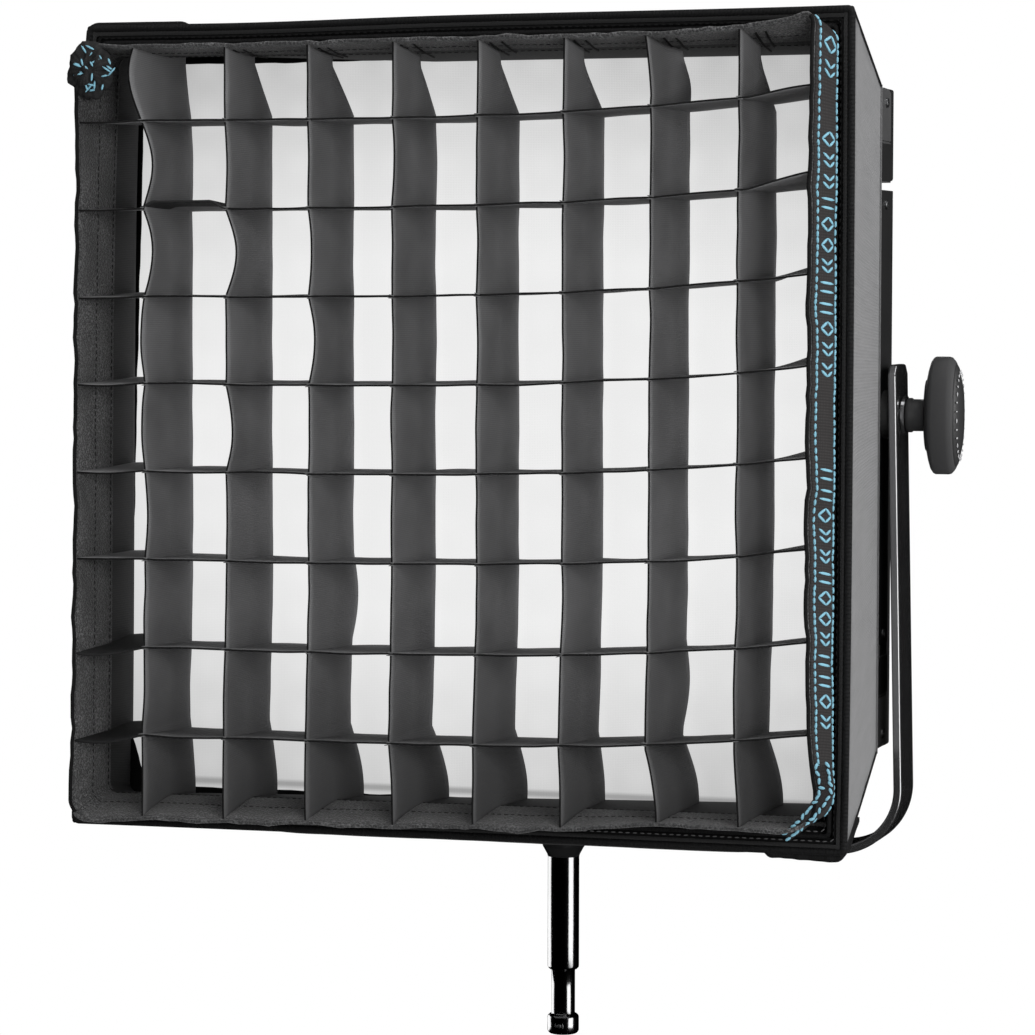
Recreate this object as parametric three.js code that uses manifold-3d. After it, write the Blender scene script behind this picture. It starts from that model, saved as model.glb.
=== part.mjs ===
// A studio softbox: a square light head with cloth walls, a white diffuser and a cloth egg-crate grid,
// tilting in a flat-bar yoke that stands on a 16 mm lighting stud.
// Millimetres, +Z up. The light leaves along -Y. The origin is the middle of the stud's lower end.
import * as THREE from "three";
import { ConvexGeometry } from "three/addons/geometries/ConvexGeometry.js";
import { mergeVertices } from "three/addons/utils/BufferGeometryUtils.js";
import Module from "manifold-3d";

const wasm = await Module();
wasm.setup();

// ---- Driving dimensions ----
const GAP = 0.3; // clearance that touching pieces keep

// Stand stud, a 5/8 inch lighting stud with a groove for the stand's clamp screw
const STUD_HEIGHT = 100;
const STUD_RADIUS = 8;
const STUD_GROOVE_RADIUS = 6;
const STUD_GROOVE = [10, 33]; // heights of the groove's two shoulders
const STUD_COLLAR = { radius: 10.7, height: 4, cone: 4.7 };
const STUD_CHAMFER = 1.2;
const STUD_PIN = { radius: 1.5, height: 4.6 };
const STUD_TAP = { radius: 4.2, depth: 24 };

// Yoke, one bent flat bar
const BAR_WIDTH = 30;
const BAR_THICKNESS = 4.5;
const YOKE_BEND = 33; // outer radius of the two bends
const ARM_INNER_AT_PIVOT = 169; // the arms splay outwards a little towards the bends
const ARM_SPLAY = 4;
const ARM_ABOVE_PIVOT = 25;
const ARM_CHAMFER = 5;

// Head
const HEAD_HEIGHT = 315; // of the head's middle
const PIVOT_RISE = 2.5; // pivot axis above the head's middle
const FRAME_HALF = 164;
const FRAME_DEPTH = 25;
const RAIL = { width: 12, web: 2, flange: 2 };
const CORNER_LEG = 47;
const CORNER_JOINT = 27; // shallow joint line across the leg
const CORNER_GAP = 6; // open notch between a corner's leg and the rail
const TONGUE = { length: 22, width: 4.8, y: [-3, 5] };

// Front and back of the LED mat, the plate behind it and the back cover
const MAT_Y = [-9, -6];
const SPREADER_Y = [-5.7, -3.7];
const COVER_Y = [6, 9];

// Softbox
const BOX_DEPTH = 175;
const FRONT_HALF_WIDTH = 187;
const FRONT_HALF_HEIGHT = 189.5;
const CLOTH = 1.6; // cloth wall with its stiffener
const HEM = { width: 8, depth: 10, setback: 1.2 };
const DIFFUSER = { behindFront: 44, thickness: 1 };

// Grid
const GRID_HALF_WIDTH = 174;
const GRID_HALF_HEIGHT = 176;
const GRID_DEPTH = 66;
const GRID_PROUD = 26; // how far the grid stands out of the softbox's front
const BAND = 1.6;
const SLATS = 8; // each way
const PITCH_ACROSS = 41.15;
const PITCH_UP = 40.6;
const SLAT = 1;
const SLOT = SLAT + 2 * GAP;

// Tilt clamps
const SCREW_RADIUS = 4;
const SCREW_HOLE_RADIUS = 4.5;
const WASHER = { radius: 9.5, thickness: 1.6 };
const NECK = { radius: 8.5, length: 10.5 };
const KNOB = { tall: 58, wide: 28, deep: 15.5 };
const BUSH_RADIUS = 12;

// ---- Worked-out places ----
const REAR_Y = -FRAME_DEPTH / 2;
const FRONT_Y = REAR_Y - BOX_DEPTH;
const GRID_FRONT_Y = FRONT_Y - GRID_PROUD;
const GRID_MIDDLE_Y = GRID_FRONT_Y + GRID_DEPTH / 2;
const PIVOT_Z = HEAD_HEIGHT + PIVOT_RISE;
const ARM_OUTER_AT_PIVOT = ARM_INNER_AT_PIVOT + BAR_THICKNESS;

// ---- Materials ----
function paint(color, roughness, metalness = 0) {
  return new THREE.MeshStandardMaterial({ color, roughness, metalness });
}
const yokeBlack = paint(0x17181a, 0.38, 0.5);
const studBlack = paint(0x0b0b0c, 0.15, 0.8);
const steel = paint(0x8c8f93, 0.35, 1);
const frameBlack = paint(0x1b1c1e, 0.5, 0.2);
const wallCloth = paint(0x6f7173, 0.9);
const trimCloth = paint(0x141415, 0.9);
const gridCloth = paint(0x46474a, 0.85);
const diffuserCloth = paint(0xf2f2f0, 0.9);
const knobPlastic = paint(0x2e2f31, 0.55);
const plateMetal = paint(0x9b9ea2, 0.5, 0.9);
const boardWhite = paint(0xe9e6da, 0.6);
const bushRubber = paint(0x101010, 0.8);

// ---- Helpers ----
const AXIS = {
  x: new THREE.Vector3(1, 0, 0),
  y: new THREE.Vector3(0, 1, 0),
  z: new THREE.Vector3(0, 0, 1),
};

// A closed three.js geometry as a solid that can be joined and cut.
function solid(geometry) {
  const bare = new THREE.BufferGeometry().setAttribute("position", geometry.getAttribute("position"));
  if (geometry.index) bare.setIndex(geometry.index);
  const merged = mergeVertices(bare, 1e-4);
  return new wasm.Manifold(
    new wasm.Mesh({
      numProp: 3,
      vertProperties: merged.getAttribute("position").array,
      triVerts: new Uint32Array(merged.index.array),
    }),
  );
}

// The geometry of a joined or cut solid.
function geometryOf(manifold) {
  const { vertProperties, triVerts } = manifold.getMesh();
  return new THREE.BufferGeometry()
    .setAttribute("position", new THREE.BufferAttribute(vertProperties, 3))
    .setIndex(new THREE.BufferAttribute(triVerts, 1))
    .toNonIndexed();
}

function cut(geometry, ...tools) {
  return geometryOf(tools.reduce((made, tool) => made.subtract(solid(tool)), solid(geometry)));
}

function join(geometry, ...others) {
  return geometryOf(others.reduce((made, other) => made.add(solid(other)), solid(geometry)));
}

function box([x0, x1], [y0, y1], [z0, z1]) {
  const made = new THREE.BoxGeometry(x1 - x0, y1 - y0, z1 - z0);
  return made.translate((x0 + x1) / 2, (y0 + y1) / 2, (z0 + z1) / 2);
}

// A cylinder along an axis from one place on it to another.
function rod(axis, radius, from, to, segments = 32) {
  const made = new THREE.CylinderGeometry(radius, radius, to - from, segments);
  made.translate(0, (from + to) / 2, 0);
  return turnTo(axis, made);
}

// Turns a geometry that runs along Y so that it runs along the named axis.
function turnTo(axis, geometry) {
  const { x, y, z } = AXIS;
  if (axis === "x") geometry.applyMatrix4(new THREE.Matrix4().makeBasis(z, x, y));
  if (axis === "z") geometry.applyMatrix4(new THREE.Matrix4().makeBasis(y, z, x));
  return geometry;
}

// A turned piece: its profile is [radius, height] points in order of height, from axis to axis.
function turned(axis, profile, segments = 32) {
  const points = profile.map(([radius, height]) => new THREE.Vector2(radius, height));
  return turnTo(axis, new THREE.LatheGeometry(points, segments));
}

function polygon(points) {
  return new THREE.Shape(points.map(([a, b]) => new THREE.Vector2(a, b)));
}

// An outline of points, or a Shape, extruded along an axis from one place on it to another.
// The outline's points are (x, y) along z, (y, z) along x and (x, z) along y.
function extruded(axis, outline, from, to) {
  const shape = Array.isArray(outline) ? polygon(outline) : outline;
  const made = new THREE.ExtrudeGeometry(shape, { depth: to - from, bevelEnabled: false, curveSegments: 6 });
  const { x, y, z } = AXIS;
  if (axis === "x") return made.applyMatrix4(new THREE.Matrix4().makeBasis(y, z, x)).translate(from, 0, 0);
  if (axis === "y") {
    const back = y.clone().negate();
    return made.applyMatrix4(new THREE.Matrix4().makeBasis(x, z, back)).translate(0, to, 0);
  }
  return made.translate(0, 0, from);
}

function roundedRectangle(halfWidth, halfHeight, radius) {
  const shape = new THREE.Shape();
  shape.absarc(halfWidth - radius, halfHeight - radius, radius, 0, Math.PI / 2);
  shape.absarc(radius - halfWidth, halfHeight - radius, radius, Math.PI / 2, Math.PI);
  shape.absarc(radius - halfWidth, radius - halfHeight, radius, Math.PI, 1.5 * Math.PI);
  shape.absarc(halfWidth - radius, radius - halfHeight, radius, 1.5 * Math.PI, 2 * Math.PI);
  return shape;
}

// Each side of a four-sided ring, as the place of a point so far out and so far along it.
const RING_SIDES = {
  right: (out, y, along) => new THREE.Vector3(out, y, along),
  top: (out, y, along) => new THREE.Vector3(along, y, out),
  left: (out, y, along) => new THREE.Vector3(-out, y, along),
  bottom: (out, y, along) => new THREE.Vector3(along, y, -out),
};
const isUpright = (side) => side === "right" || side === "left";

// One side of a four-sided tapering ring with mitred ends.
// Each section is {y, width, height}, where width and height are half sizes outside.
function ringSide(side, sections, thickness) {
  const points = [];
  for (const { y, width, height } of sections) {
    const [out, along] = isUpright(side) ? [width, height] : [height, width];
    for (const inset of [0, thickness]) {
      for (const end of [-1, 1]) {
        points.push(RING_SIDES[side](out - inset, y, end * (along - inset - GAP)));
      }
    }
  }
  return new ConvexGeometry(points);
}

// The softbox's outer half sizes at a distance behind its front edge.
function boxSection(behindFront, inset = 0) {
  const share = behindFront / BOX_DEPTH;
  return {
    y: FRONT_Y + behindFront,
    width: FRONT_HALF_WIDTH + (FRAME_HALF - FRONT_HALF_WIDTH) * share - inset,
    height: FRONT_HALF_HEIGHT + (FRAME_HALF - FRONT_HALF_HEIGHT) * share - inset,
  };
}

// A layer of cloth lying on the outside of the top or bottom wall, trimmed to the wall's tapering ends.
function outerLayer(side, span, depth, thickness) {
  const points = [];
  for (const behindFront of [0, depth]) {
    const { y, width, height } = boxSection(behindFront);
    for (const lift of [GAP, GAP + thickness]) {
      for (const end of span) {
        const along = Math.max(-width, Math.min(width, end));
        points.push(RING_SIDES[side](height + lift, y, along));
      }
    }
  }
  return new ConvexGeometry(points);
}

const softbox = new THREE.Group();
const yoke = new THREE.Group();
const head = new THREE.Group();
head.position.z = HEAD_HEIGHT;
softbox.add(yoke, head);

function place(group, name, geometry, material) {
  const mesh = new THREE.Mesh(geometry, material);
  mesh.name = name;
  group.add(mesh);
}

// ---- Yoke and stud ----
function yokeBar() {
  const armTop = PIVOT_Z + ARM_ABOVE_PIVOT;
  const bendTop = STUD_HEIGHT + YOKE_BEND;
  const slope = ARM_SPLAY / (PIVOT_Z - bendTop);
  const outerAtBend = ARM_OUTER_AT_PIVOT + ARM_SPLAY;
  const outerAtTop = ARM_OUTER_AT_PIVOT - slope * ARM_ABOVE_PIVOT;
  const centre = outerAtBend - YOKE_BEND;
  const shape = new THREE.Shape();
  shape.moveTo(outerAtTop, armTop);
  shape.lineTo(outerAtTop - BAR_THICKNESS, armTop);
  shape.absarc(centre, bendTop, YOKE_BEND - BAR_THICKNESS, 0, -Math.PI / 2, true);
  shape.absarc(-centre, bendTop, YOKE_BEND - BAR_THICKNESS, -Math.PI / 2, -Math.PI, true);
  shape.lineTo(BAR_THICKNESS - outerAtTop, armTop);
  shape.lineTo(-outerAtTop, armTop);
  shape.absarc(-centre, bendTop, YOKE_BEND, Math.PI, 1.5 * Math.PI);
  shape.absarc(centre, bendTop, YOKE_BEND, 1.5 * Math.PI, 2 * Math.PI);
  const bar = extruded("y", shape, -BAR_WIDTH / 2, BAR_WIDTH / 2);
  const reach = outerAtBend + 1;
  const corners = [-1, 1].map((end) => {
    const edge = (end * BAR_WIDTH) / 2;
    const outline = [
      [edge - end * ARM_CHAMFER, armTop + 1],
      [edge - end * ARM_CHAMFER, armTop],
      [edge, armTop - ARM_CHAMFER],
      [edge + end, armTop - ARM_CHAMFER],
      [edge + end, armTop + 1],
    ];
    return extruded("x", outline, -reach, reach);
  });
  const pivotHole = rod("x", SCREW_HOLE_RADIUS, -reach, reach, 24).translate(0, 0, PIVOT_Z);
  const boltHole = rod("z", SCREW_HOLE_RADIUS, STUD_HEIGHT - 1, STUD_HEIGHT + BAR_THICKNESS + 1, 24);
  return cut(bar, ...corners, pivotHole, boltHole);
}

function standStud() {
  const [grooveLow, grooveHigh] = STUD_GROOVE;
  const top = STUD_HEIGHT - GAP;
  const profile = [
    [0, 0],
    [STUD_RADIUS - STUD_CHAMFER, 0],
    [STUD_RADIUS, STUD_CHAMFER],
    [STUD_RADIUS, grooveLow - STUD_CHAMFER],
    [STUD_RADIUS - STUD_CHAMFER, grooveLow],
    [STUD_GROOVE_RADIUS, grooveLow],
    [STUD_GROOVE_RADIUS, grooveHigh],
    [STUD_RADIUS - STUD_CHAMFER, grooveHigh],
    [STUD_RADIUS, grooveHigh + STUD_CHAMFER],
    [STUD_RADIUS, top - STUD_COLLAR.height - STUD_COLLAR.cone],
    [STUD_COLLAR.radius - 0.3, top - STUD_COLLAR.height],
    [STUD_COLLAR.radius, top - STUD_COLLAR.height + 0.6],
    [STUD_COLLAR.radius, top],
    [0, top],
  ];
  const tap = rod("z", STUD_TAP.radius, top - STUD_TAP.depth, top + 1, 24);
  const pinHole = rod("y", STUD_PIN.radius + GAP, -STUD_RADIUS - 1, STUD_RADIUS + 1, 16);
  return cut(turned("z", profile, 40), tap, pinHole.translate(0, 0, STUD_PIN.height));
}

function studBolt() {
  const seat = STUD_HEIGHT + BAR_THICKNESS + WASHER.thickness + 2 * GAP;
  const shank = STUD_TAP.radius - GAP;
  const headRadius = 6.8;
  const profile = [
    [0, STUD_HEIGHT - STUD_TAP.depth + 2],
    [shank, STUD_HEIGHT - STUD_TAP.depth + 2],
    [shank, seat],
    [headRadius, seat],
    [headRadius, seat + 4],
    [headRadius - 2, seat + 6],
    [0, seat + 6],
  ];
  const socket = turnTo("z", new THREE.CylinderGeometry(2.9, 2.9, 6, 6));
  return cut(turned("z", profile, 24), socket.translate(0, 0, seat + 6));
}

place(yoke, "yoke_bar", yokeBar(), yokeBlack);
place(yoke, "stand_stud", standStud(), studBlack);
const pinReach = STUD_RADIUS - 0.4;
const crossPin = rod("y", STUD_PIN.radius, -pinReach, pinReach, 16).translate(0, 0, STUD_PIN.height);
place(yoke, "stud_cross_pin", crossPin, steel);
place(yoke, "stud_bolt", studBolt(), steel);
const washerSeat = STUD_HEIGHT + BAR_THICKNESS + GAP;
const studWasher = cut(
  rod("z", WASHER.radius, washerSeat, washerSeat + WASHER.thickness),
  rod("z", SCREW_HOLE_RADIUS, washerSeat - 1, washerSeat + WASHER.thickness + 1, 24),
);
place(yoke, "stud_washer", studWasher, steel);

// ---- Head frame: four channel rails and four corners ----
const rimInner = FRAME_HALF - RAIL.width;

// The rail on the +X side, a channel that opens inwards.
function rail() {
  const half = FRAME_HALF - CORNER_LEG - CORNER_GAP;
  const web = FRAME_HALF - RAIL.web;
  const back = FRAME_DEPTH / 2;
  const lip = back - RAIL.flange;
  const outline = [
    [rimInner, -back],
    [FRAME_HALF, -back],
    [FRAME_HALF, back],
    [rimInner, back],
    [rimInner, lip],
    [web, lip],
    [web, -lip],
    [rimInner, -lip],
  ];
  return extruded("z", outline, -half, half);
}

// The corner at +X +Z: an L with a joint line on each leg and a tongue into each rail's channel.
function corner() {
  const legEnd = FRAME_HALF - CORNER_LEG;
  const radius = 4;
  const shape = new THREE.Shape();
  shape.moveTo(legEnd, rimInner);
  shape.lineTo(rimInner, rimInner);
  shape.lineTo(rimInner, legEnd);
  shape.lineTo(FRAME_HALF, legEnd);
  shape.absarc(FRAME_HALF - radius, FRAME_HALF - radius, radius, 0, Math.PI / 2);
  shape.lineTo(legEnd, FRAME_HALF);
  const body = extruded("y", shape, -FRAME_DEPTH / 2, FRAME_DEPTH / 2);
  const tongueAcross = [rimInner + 2 * GAP, rimInner + 2 * GAP + TONGUE.width];
  const tongueAlong = [legEnd - TONGUE.length, legEnd + 1];
  const line = { at: FRAME_HALF - CORNER_JOINT, width: 0.8, depth: 0.8 };
  const lineAlong = [line.at - line.width / 2, line.at + line.width / 2];
  const lineAcross = [FRAME_HALF - line.depth, FRAME_HALF + 1];
  const through = [-FRAME_DEPTH, FRAME_DEPTH];
  const joined = join(
    body,
    box(tongueAcross, TONGUE.y, tongueAlong),
    box(tongueAlong, TONGUE.y, tongueAcross),
  );
  return cut(joined, box(lineAcross, through, lineAlong), box(lineAlong, through, lineAcross));
}

const pivotBore = (from, to) => rod("x", SCREW_HOLE_RADIUS, from, to, 24).translate(0, 0, PIVOT_RISE);

["right", "top", "left", "bottom"].forEach((side, quarter) => {
  const turn = (-quarter * Math.PI) / 2;
  const placed = rail().rotateY(turn);
  const drilled = isUpright(side) ? cut(placed, pivotBore(-FRAME_HALF - 1, FRAME_HALF + 1)) : placed;
  place(head, `frame_rail_${side}`, drilled, frameBlack);
});
["top_right", "top_left", "bottom_left", "bottom_right"].forEach((name, quarter) => {
  place(head, `frame_corner_${name}`, corner().rotateY((-quarter * Math.PI) / 2), frameBlack);
});

// ---- Light source: heat spreader, LED mat and back cover, held in the top and bottom rails ----
function panelOutline(edge) {
  const wide = FRAME_HALF - CORNER_LEG - CORNER_GAP - 4;
  const side = rimInner - 2 * GAP;
  return [
    [-side, -side],
    [-wide, -side],
    [-wide, -edge],
    [wide, -edge],
    [wide, -side],
    [side, -side],
    [side, side],
    [wide, side],
    [wide, edge],
    [-wide, edge],
    [-wide, side],
    [-side, side],
  ];
}
const panelEdge = FRAME_HALF - 6;
place(head, "heat_spreader", extruded("y", panelOutline(panelEdge), ...SPREADER_Y), plateMetal);
const matHalf = rimInner - 2;
place(head, "led_mat", box([-matHalf, matHalf], MAT_Y, [-matHalf, matHalf]), boardWhite);
place(head, "back_cover", extruded("y", panelOutline(panelEdge), ...COVER_Y), frameBlack);

// Junction box on the back, with a round power socket in its lower face
const JUNCTION = { halfWidth: 48, halfHeight: 32, z: -62, y: [COVER_Y[1] + GAP, 36], corner: 8 };
const SOCKET = {
  y: 23,
  radius: 9.5,
  depth: 13,
  flange: 12,
  flangeDepth: 2.5,
  recess: 7.5,
  recessDepth: 9,
  pinRadius: 0.9,
  pinLength: 3,
  pinCircle: 3.4,
};
const socketFace = JUNCTION.z - JUNCTION.halfHeight;

function junctionBox() {
  const outline = roundedRectangle(JUNCTION.halfWidth, JUNCTION.halfHeight, JUNCTION.corner);
  const body = extruded("y", outline, ...JUNCTION.y).translate(0, 0, JUNCTION.z);
  const bore = rod("z", SOCKET.radius + GAP, socketFace - 1, socketFace + SOCKET.depth + 1, 32);
  return cut(body, bore.translate(0, SOCKET.y, 0));
}

function powerSocket() {
  const lip = socketFace - GAP;
  const mouth = lip - SOCKET.flangeDepth;
  const base = mouth + SOCKET.recessDepth;
  const profile = [
    [0, base],
    [SOCKET.recess, base],
    [SOCKET.recess, mouth],
    [SOCKET.flange - 1, mouth],
    [SOCKET.flange, mouth + 1],
    [SOCKET.flange, lip],
    [SOCKET.radius, lip],
    [SOCKET.radius, socketFace + SOCKET.depth],
    [0, socketFace + SOCKET.depth],
  ];
  const pins = [0, 1, 2, 3].map((k) => {
    const angle = Math.PI / 4 + (k * Math.PI) / 2;
    const pin = rod("z", SOCKET.pinRadius, base - SOCKET.pinLength, base + 1, 8);
    return pin.translate(SOCKET.pinCircle * Math.cos(angle), SOCKET.pinCircle * Math.sin(angle), 0);
  });
  return join(turned("z", profile, 32), ...pins).translate(0, SOCKET.y, 0);
}
place(head, "junction_box", junctionBox(), frameBlack);
place(head, "power_socket", powerSocket(), steel);

// ---- Softbox cloth ----
const wallSections = [boxSection(0), boxSection(BOX_DEPTH - GAP)];
const hemOuter = boxSection(HEM.setback + HEM.depth, CLOTH + GAP);
const hemSections = [HEM.setback, HEM.setback + HEM.depth].map((behind) => {
  return { ...hemOuter, y: FRONT_Y + behind };
});
const bandSections = [GRID_FRONT_Y, GRID_FRONT_Y + GRID_DEPTH].map((y) => {
  return { y, width: GRID_HALF_WIDTH, height: GRID_HALF_HEIGHT };
});
for (const side of Object.keys(RING_SIDES)) {
  place(head, `softbox_wall_${side}`, ringSide(side, wallSections, CLOTH), wallCloth);
  place(head, `front_rod_hem_${side}`, ringSide(side, hemSections, HEM.width), trimCloth);
  place(head, `grid_band_${side}`, ringSide(side, bandSections, BAND), trimCloth);
}

const diffuser = boxSection(DIFFUSER.behindFront, CLOTH + 2 * GAP);
const diffuserSpan = [diffuser.y, diffuser.y + DIFFUSER.thickness];
place(
  head,
  "diffuser_sheet",
  box([-diffuser.width, diffuser.width], diffuserSpan, [-diffuser.height, diffuser.height]),
  diffuserCloth,
);

place(head, "top_corner_flap", outerLayer("top", [-186, -132], 55, 2), trimCloth);
place(head, "bottom_overlap_layer", outerLayer("bottom", [-92, 148], 120, 1.2), wallCloth);
place(head, "bottom_corner_tab", outerLayer("bottom", [150, 186], 60, 3), trimCloth);

// ---- Egg-crate grid: upright slats slotted from behind, level slats slotted from the front ----
function slatOutline(halfLength, pitch, slotEdge) {
  const edge = (slotEdge * GRID_DEPTH) / 2;
  const floor = -slotEdge * GAP;
  const outline = [
    [-halfLength, -edge],
    [halfLength, -edge],
    [halfLength, edge],
  ];
  for (let k = SLATS - 1; k >= 0; k--) {
    const middle = (k - (SLATS - 1) / 2) * pitch;
    outline.push([middle + SLOT / 2, edge], [middle + SLOT / 2, floor]);
    outline.push([middle - SLOT / 2, floor], [middle - SLOT / 2, edge]);
  }
  outline.push([-halfLength, edge]);
  return outline;
}
const uprightOutline = slatOutline(GRID_HALF_HEIGHT - BAND - GAP, PITCH_UP, 1);
const levelOutline = slatOutline(GRID_HALF_WIDTH - BAND - GAP, PITCH_ACROSS, -1);
for (let k = 0; k < SLATS; k++) {
  const offset = k - (SLATS - 1) / 2;
  const upright = extruded("x", uprightOutline.map(([along, y]) => [y, along]), -SLAT / 2, SLAT / 2);
  upright.translate(offset * PITCH_ACROSS, GRID_MIDDLE_Y, 0);
  place(head, `grid_slat_upright_${k + 1}`, upright, gridCloth);
  const level = extruded("z", levelOutline, -SLAT / 2, SLAT / 2);
  level.translate(0, GRID_MIDDLE_Y, offset * PITCH_UP);
  place(head, `grid_slat_level_${k + 1}`, level, gridCloth);
}

// ---- Tilt clamps: pivot block in the rail, bush, washer, screw and oblong knob on each side ----
function knob(neckStart) {
  const back = neckStart + NECK.length;
  const front = back + KNOB.deep;
  const radius = KNOB.tall / 2;
  const profile = [
    [0, back - 1.5],
    [radius * 0.36, back - 1.5],
    [radius - 4, back],
    [radius - 1.2, back + 1],
    [radius, back + 3.5],
    [radius, front - 3.5],
    [radius - 1.2, front - 1],
    [radius - 3.4, front],
    [radius - 5, front - 0.6],
    [radius * 0.5, front + 1.2],
    [0, front + 1.8],
  ];
  const grip = turned("x", profile, 40).scale(1, KNOB.wide / KNOB.tall, 1);
  const neck = rod("x", NECK.radius, neckStart, back);
  const hole = rod("x", SCREW_RADIUS + GAP, neckStart - 1, back + 6, 24);
  return cut(join(grip, neck), hole);
}

const ring = (outer, from, to) => {
  return cut(rod("x", outer, from, to), rod("x", SCREW_HOLE_RADIUS, from - 1, to + 1, 24));
};

for (const [side, turn] of [
  ["right", 0],
  ["left", Math.PI],
]) {
  const clamp = new THREE.Group();
  clamp.position.z = PIVOT_Z;
  clamp.rotation.z = turn;
  softbox.add(clamp);
  const blockSpan = [rimInner + GAP, FRAME_HALF - RAIL.web - GAP];
  const blockWide = FRAME_DEPTH / 2 - RAIL.flange - GAP;
  const block = box(blockSpan, [-blockWide, blockWide], [-18, 18]);
  const blockHole = rod("x", SCREW_HOLE_RADIUS, blockSpan[0] - 1, blockSpan[1] + 1, 24);
  place(clamp, `pivot_block_${side}`, cut(block, blockHole), plateMetal);
  const bush = ring(BUSH_RADIUS, FRAME_HALF + GAP, ARM_INNER_AT_PIVOT - 2 * GAP);
  place(clamp, `pivot_bush_${side}`, bush, bushRubber);
  const washerStart = ARM_OUTER_AT_PIVOT + 2 * GAP;
  const washerEnd = washerStart + WASHER.thickness;
  const neckStart = washerEnd + GAP;
  place(clamp, `knob_washer_${side}`, ring(WASHER.radius, washerStart, washerEnd), steel);
  const screwEnd = neckStart + NECK.length + 5;
  place(clamp, `knob_screw_${side}`, rod("x", SCREW_RADIUS, rimInner + 2, screwEnd, 24), steel);
  place(clamp, `tilt_knob_${side}`, knob(neckStart), knobPlastic);
}

export default softbox;
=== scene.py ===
"""The looks of the studio softbox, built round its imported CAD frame.

Lengths are in metres, in the frame's axes: X across, Y to the back and Z up.
"""
import math
import random

import bmesh
import bpy
from mathutils import Matrix, Vector, noise


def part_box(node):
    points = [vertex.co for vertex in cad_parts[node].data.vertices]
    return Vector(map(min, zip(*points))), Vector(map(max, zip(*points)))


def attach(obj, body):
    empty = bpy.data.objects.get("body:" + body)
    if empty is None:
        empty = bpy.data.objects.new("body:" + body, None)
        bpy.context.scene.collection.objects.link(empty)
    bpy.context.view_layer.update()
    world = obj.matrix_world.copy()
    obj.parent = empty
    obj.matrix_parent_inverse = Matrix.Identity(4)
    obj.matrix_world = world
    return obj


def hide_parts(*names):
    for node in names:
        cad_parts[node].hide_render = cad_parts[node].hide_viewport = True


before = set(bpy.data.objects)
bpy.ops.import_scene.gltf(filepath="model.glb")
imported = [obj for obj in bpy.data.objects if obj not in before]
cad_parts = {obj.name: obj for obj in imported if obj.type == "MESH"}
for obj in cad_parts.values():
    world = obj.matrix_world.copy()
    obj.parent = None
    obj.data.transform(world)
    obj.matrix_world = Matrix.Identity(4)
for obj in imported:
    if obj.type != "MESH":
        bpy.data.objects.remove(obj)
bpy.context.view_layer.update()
MM = 0.001
chance = random.Random(11)

# ---- Places, from the frame ----
wall_low, wall_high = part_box("softbox_wall_right")
HEAD_Z = (wall_low.z + wall_high.z) / 2
BOX_FRONT, BOX_REAR = wall_low.y, wall_high.y
BOX_HALF = (wall_high.x, (wall_high.z - wall_low.z) / 2)
FRAME_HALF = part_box("frame_rail_right")[1].x
FRAME_FRONT, FRAME_BACK = (corner.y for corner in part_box("frame_rail_right"))
BAND_FRONT, BAND_REAR = (corner.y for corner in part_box("grid_band_right"))
BAND_DEPTH = BAND_REAR - BAND_FRONT
BAND_HALF = (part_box("grid_band_right")[1].x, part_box("grid_band_top")[1].z - HEAD_Z)
HEM_FRONT, HEM_REAR = (corner.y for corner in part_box("front_rod_hem_right"))
HEM_HALF = (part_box("front_rod_hem_right")[1].x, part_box("front_rod_hem_top")[1].z - HEAD_Z)
PIVOT_Z = sum(corner.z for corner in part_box("knob_screw_right")) / 2
SLATS = 8
CELLS = SLATS + 1
SIDES = ("top", "right", "bottom", "left")
FORWARD = Vector((0, -1, 0))


def middle(node):
    """The middle of a CAD node's box."""
    lowest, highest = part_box(node)
    return (lowest + highest) / 2


UPRIGHT_X = [middle(f"grid_slat_upright_{k + 1}").x for k in range(SLATS)]
LEVEL_Z = [middle(f"grid_slat_level_{k + 1}").z - HEAD_Z for k in range(SLATS)]


def ramp(value, start, end):
    """0 up to start, 1 from end on, and a straight line between."""
    return min(1.0, max(0.0, (value - start) / (end - start)))


def at(x, y, z):
    """A point whose height is given from the head's middle."""
    return Vector((x, y, HEAD_Z + z))


def direction(angle):
    """The way an angle points in the plane of the head's face, as (across, up)."""
    return Vector((math.cos(angle), math.sin(angle)))


def outward(angle):
    """The same direction in the frame's axes."""
    return Vector((math.cos(angle), 0, math.sin(angle)))


def path_length(path):
    """The length of a path of places whose first two numbers are across and up."""
    return sum((Vector(a[:2]) - Vector(b[:2])).length for a, b in zip(path, path[1:]))


# ---- Camera ----
CAMERA_PLACE = (0.5602, -1.9526, 0.3859)
CAMERA_TURN = (16.68, 3.45, -0.11)  # azimuth, elevation and roll, in degrees
CAMERA_LENS, CAMERA_FILM = 139.69, 36  # in mm


def make_camera():
    """A camera in front of the softbox, a little to its right and above its middle."""
    azimuth, elevation, roll = (math.radians(angle) for angle in CAMERA_TURN)
    level = math.cos(elevation)
    back = Vector((math.sin(azimuth) * level, -math.cos(azimuth) * level, math.sin(elevation)))
    right = Vector((math.cos(azimuth), math.sin(azimuth), 0))
    turned = Matrix((right, back.cross(right), back)).transposed() @ Matrix.Rotation(-roll, 3, "Z")
    data = bpy.data.cameras.new("camera")
    data.lens = CAMERA_LENS
    data.sensor_width = CAMERA_FILM
    camera = bpy.data.objects.new("camera", data)
    camera.matrix_world = Matrix.Translation(CAMERA_PLACE) @ turned.to_4x4()
    bpy.context.scene.collection.objects.link(camera)
    bpy.context.scene.camera = camera


# ---- Shading helpers ----
def grey(value):
    """An even grey, as a colour."""
    return (value, value, value, 1)


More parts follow.
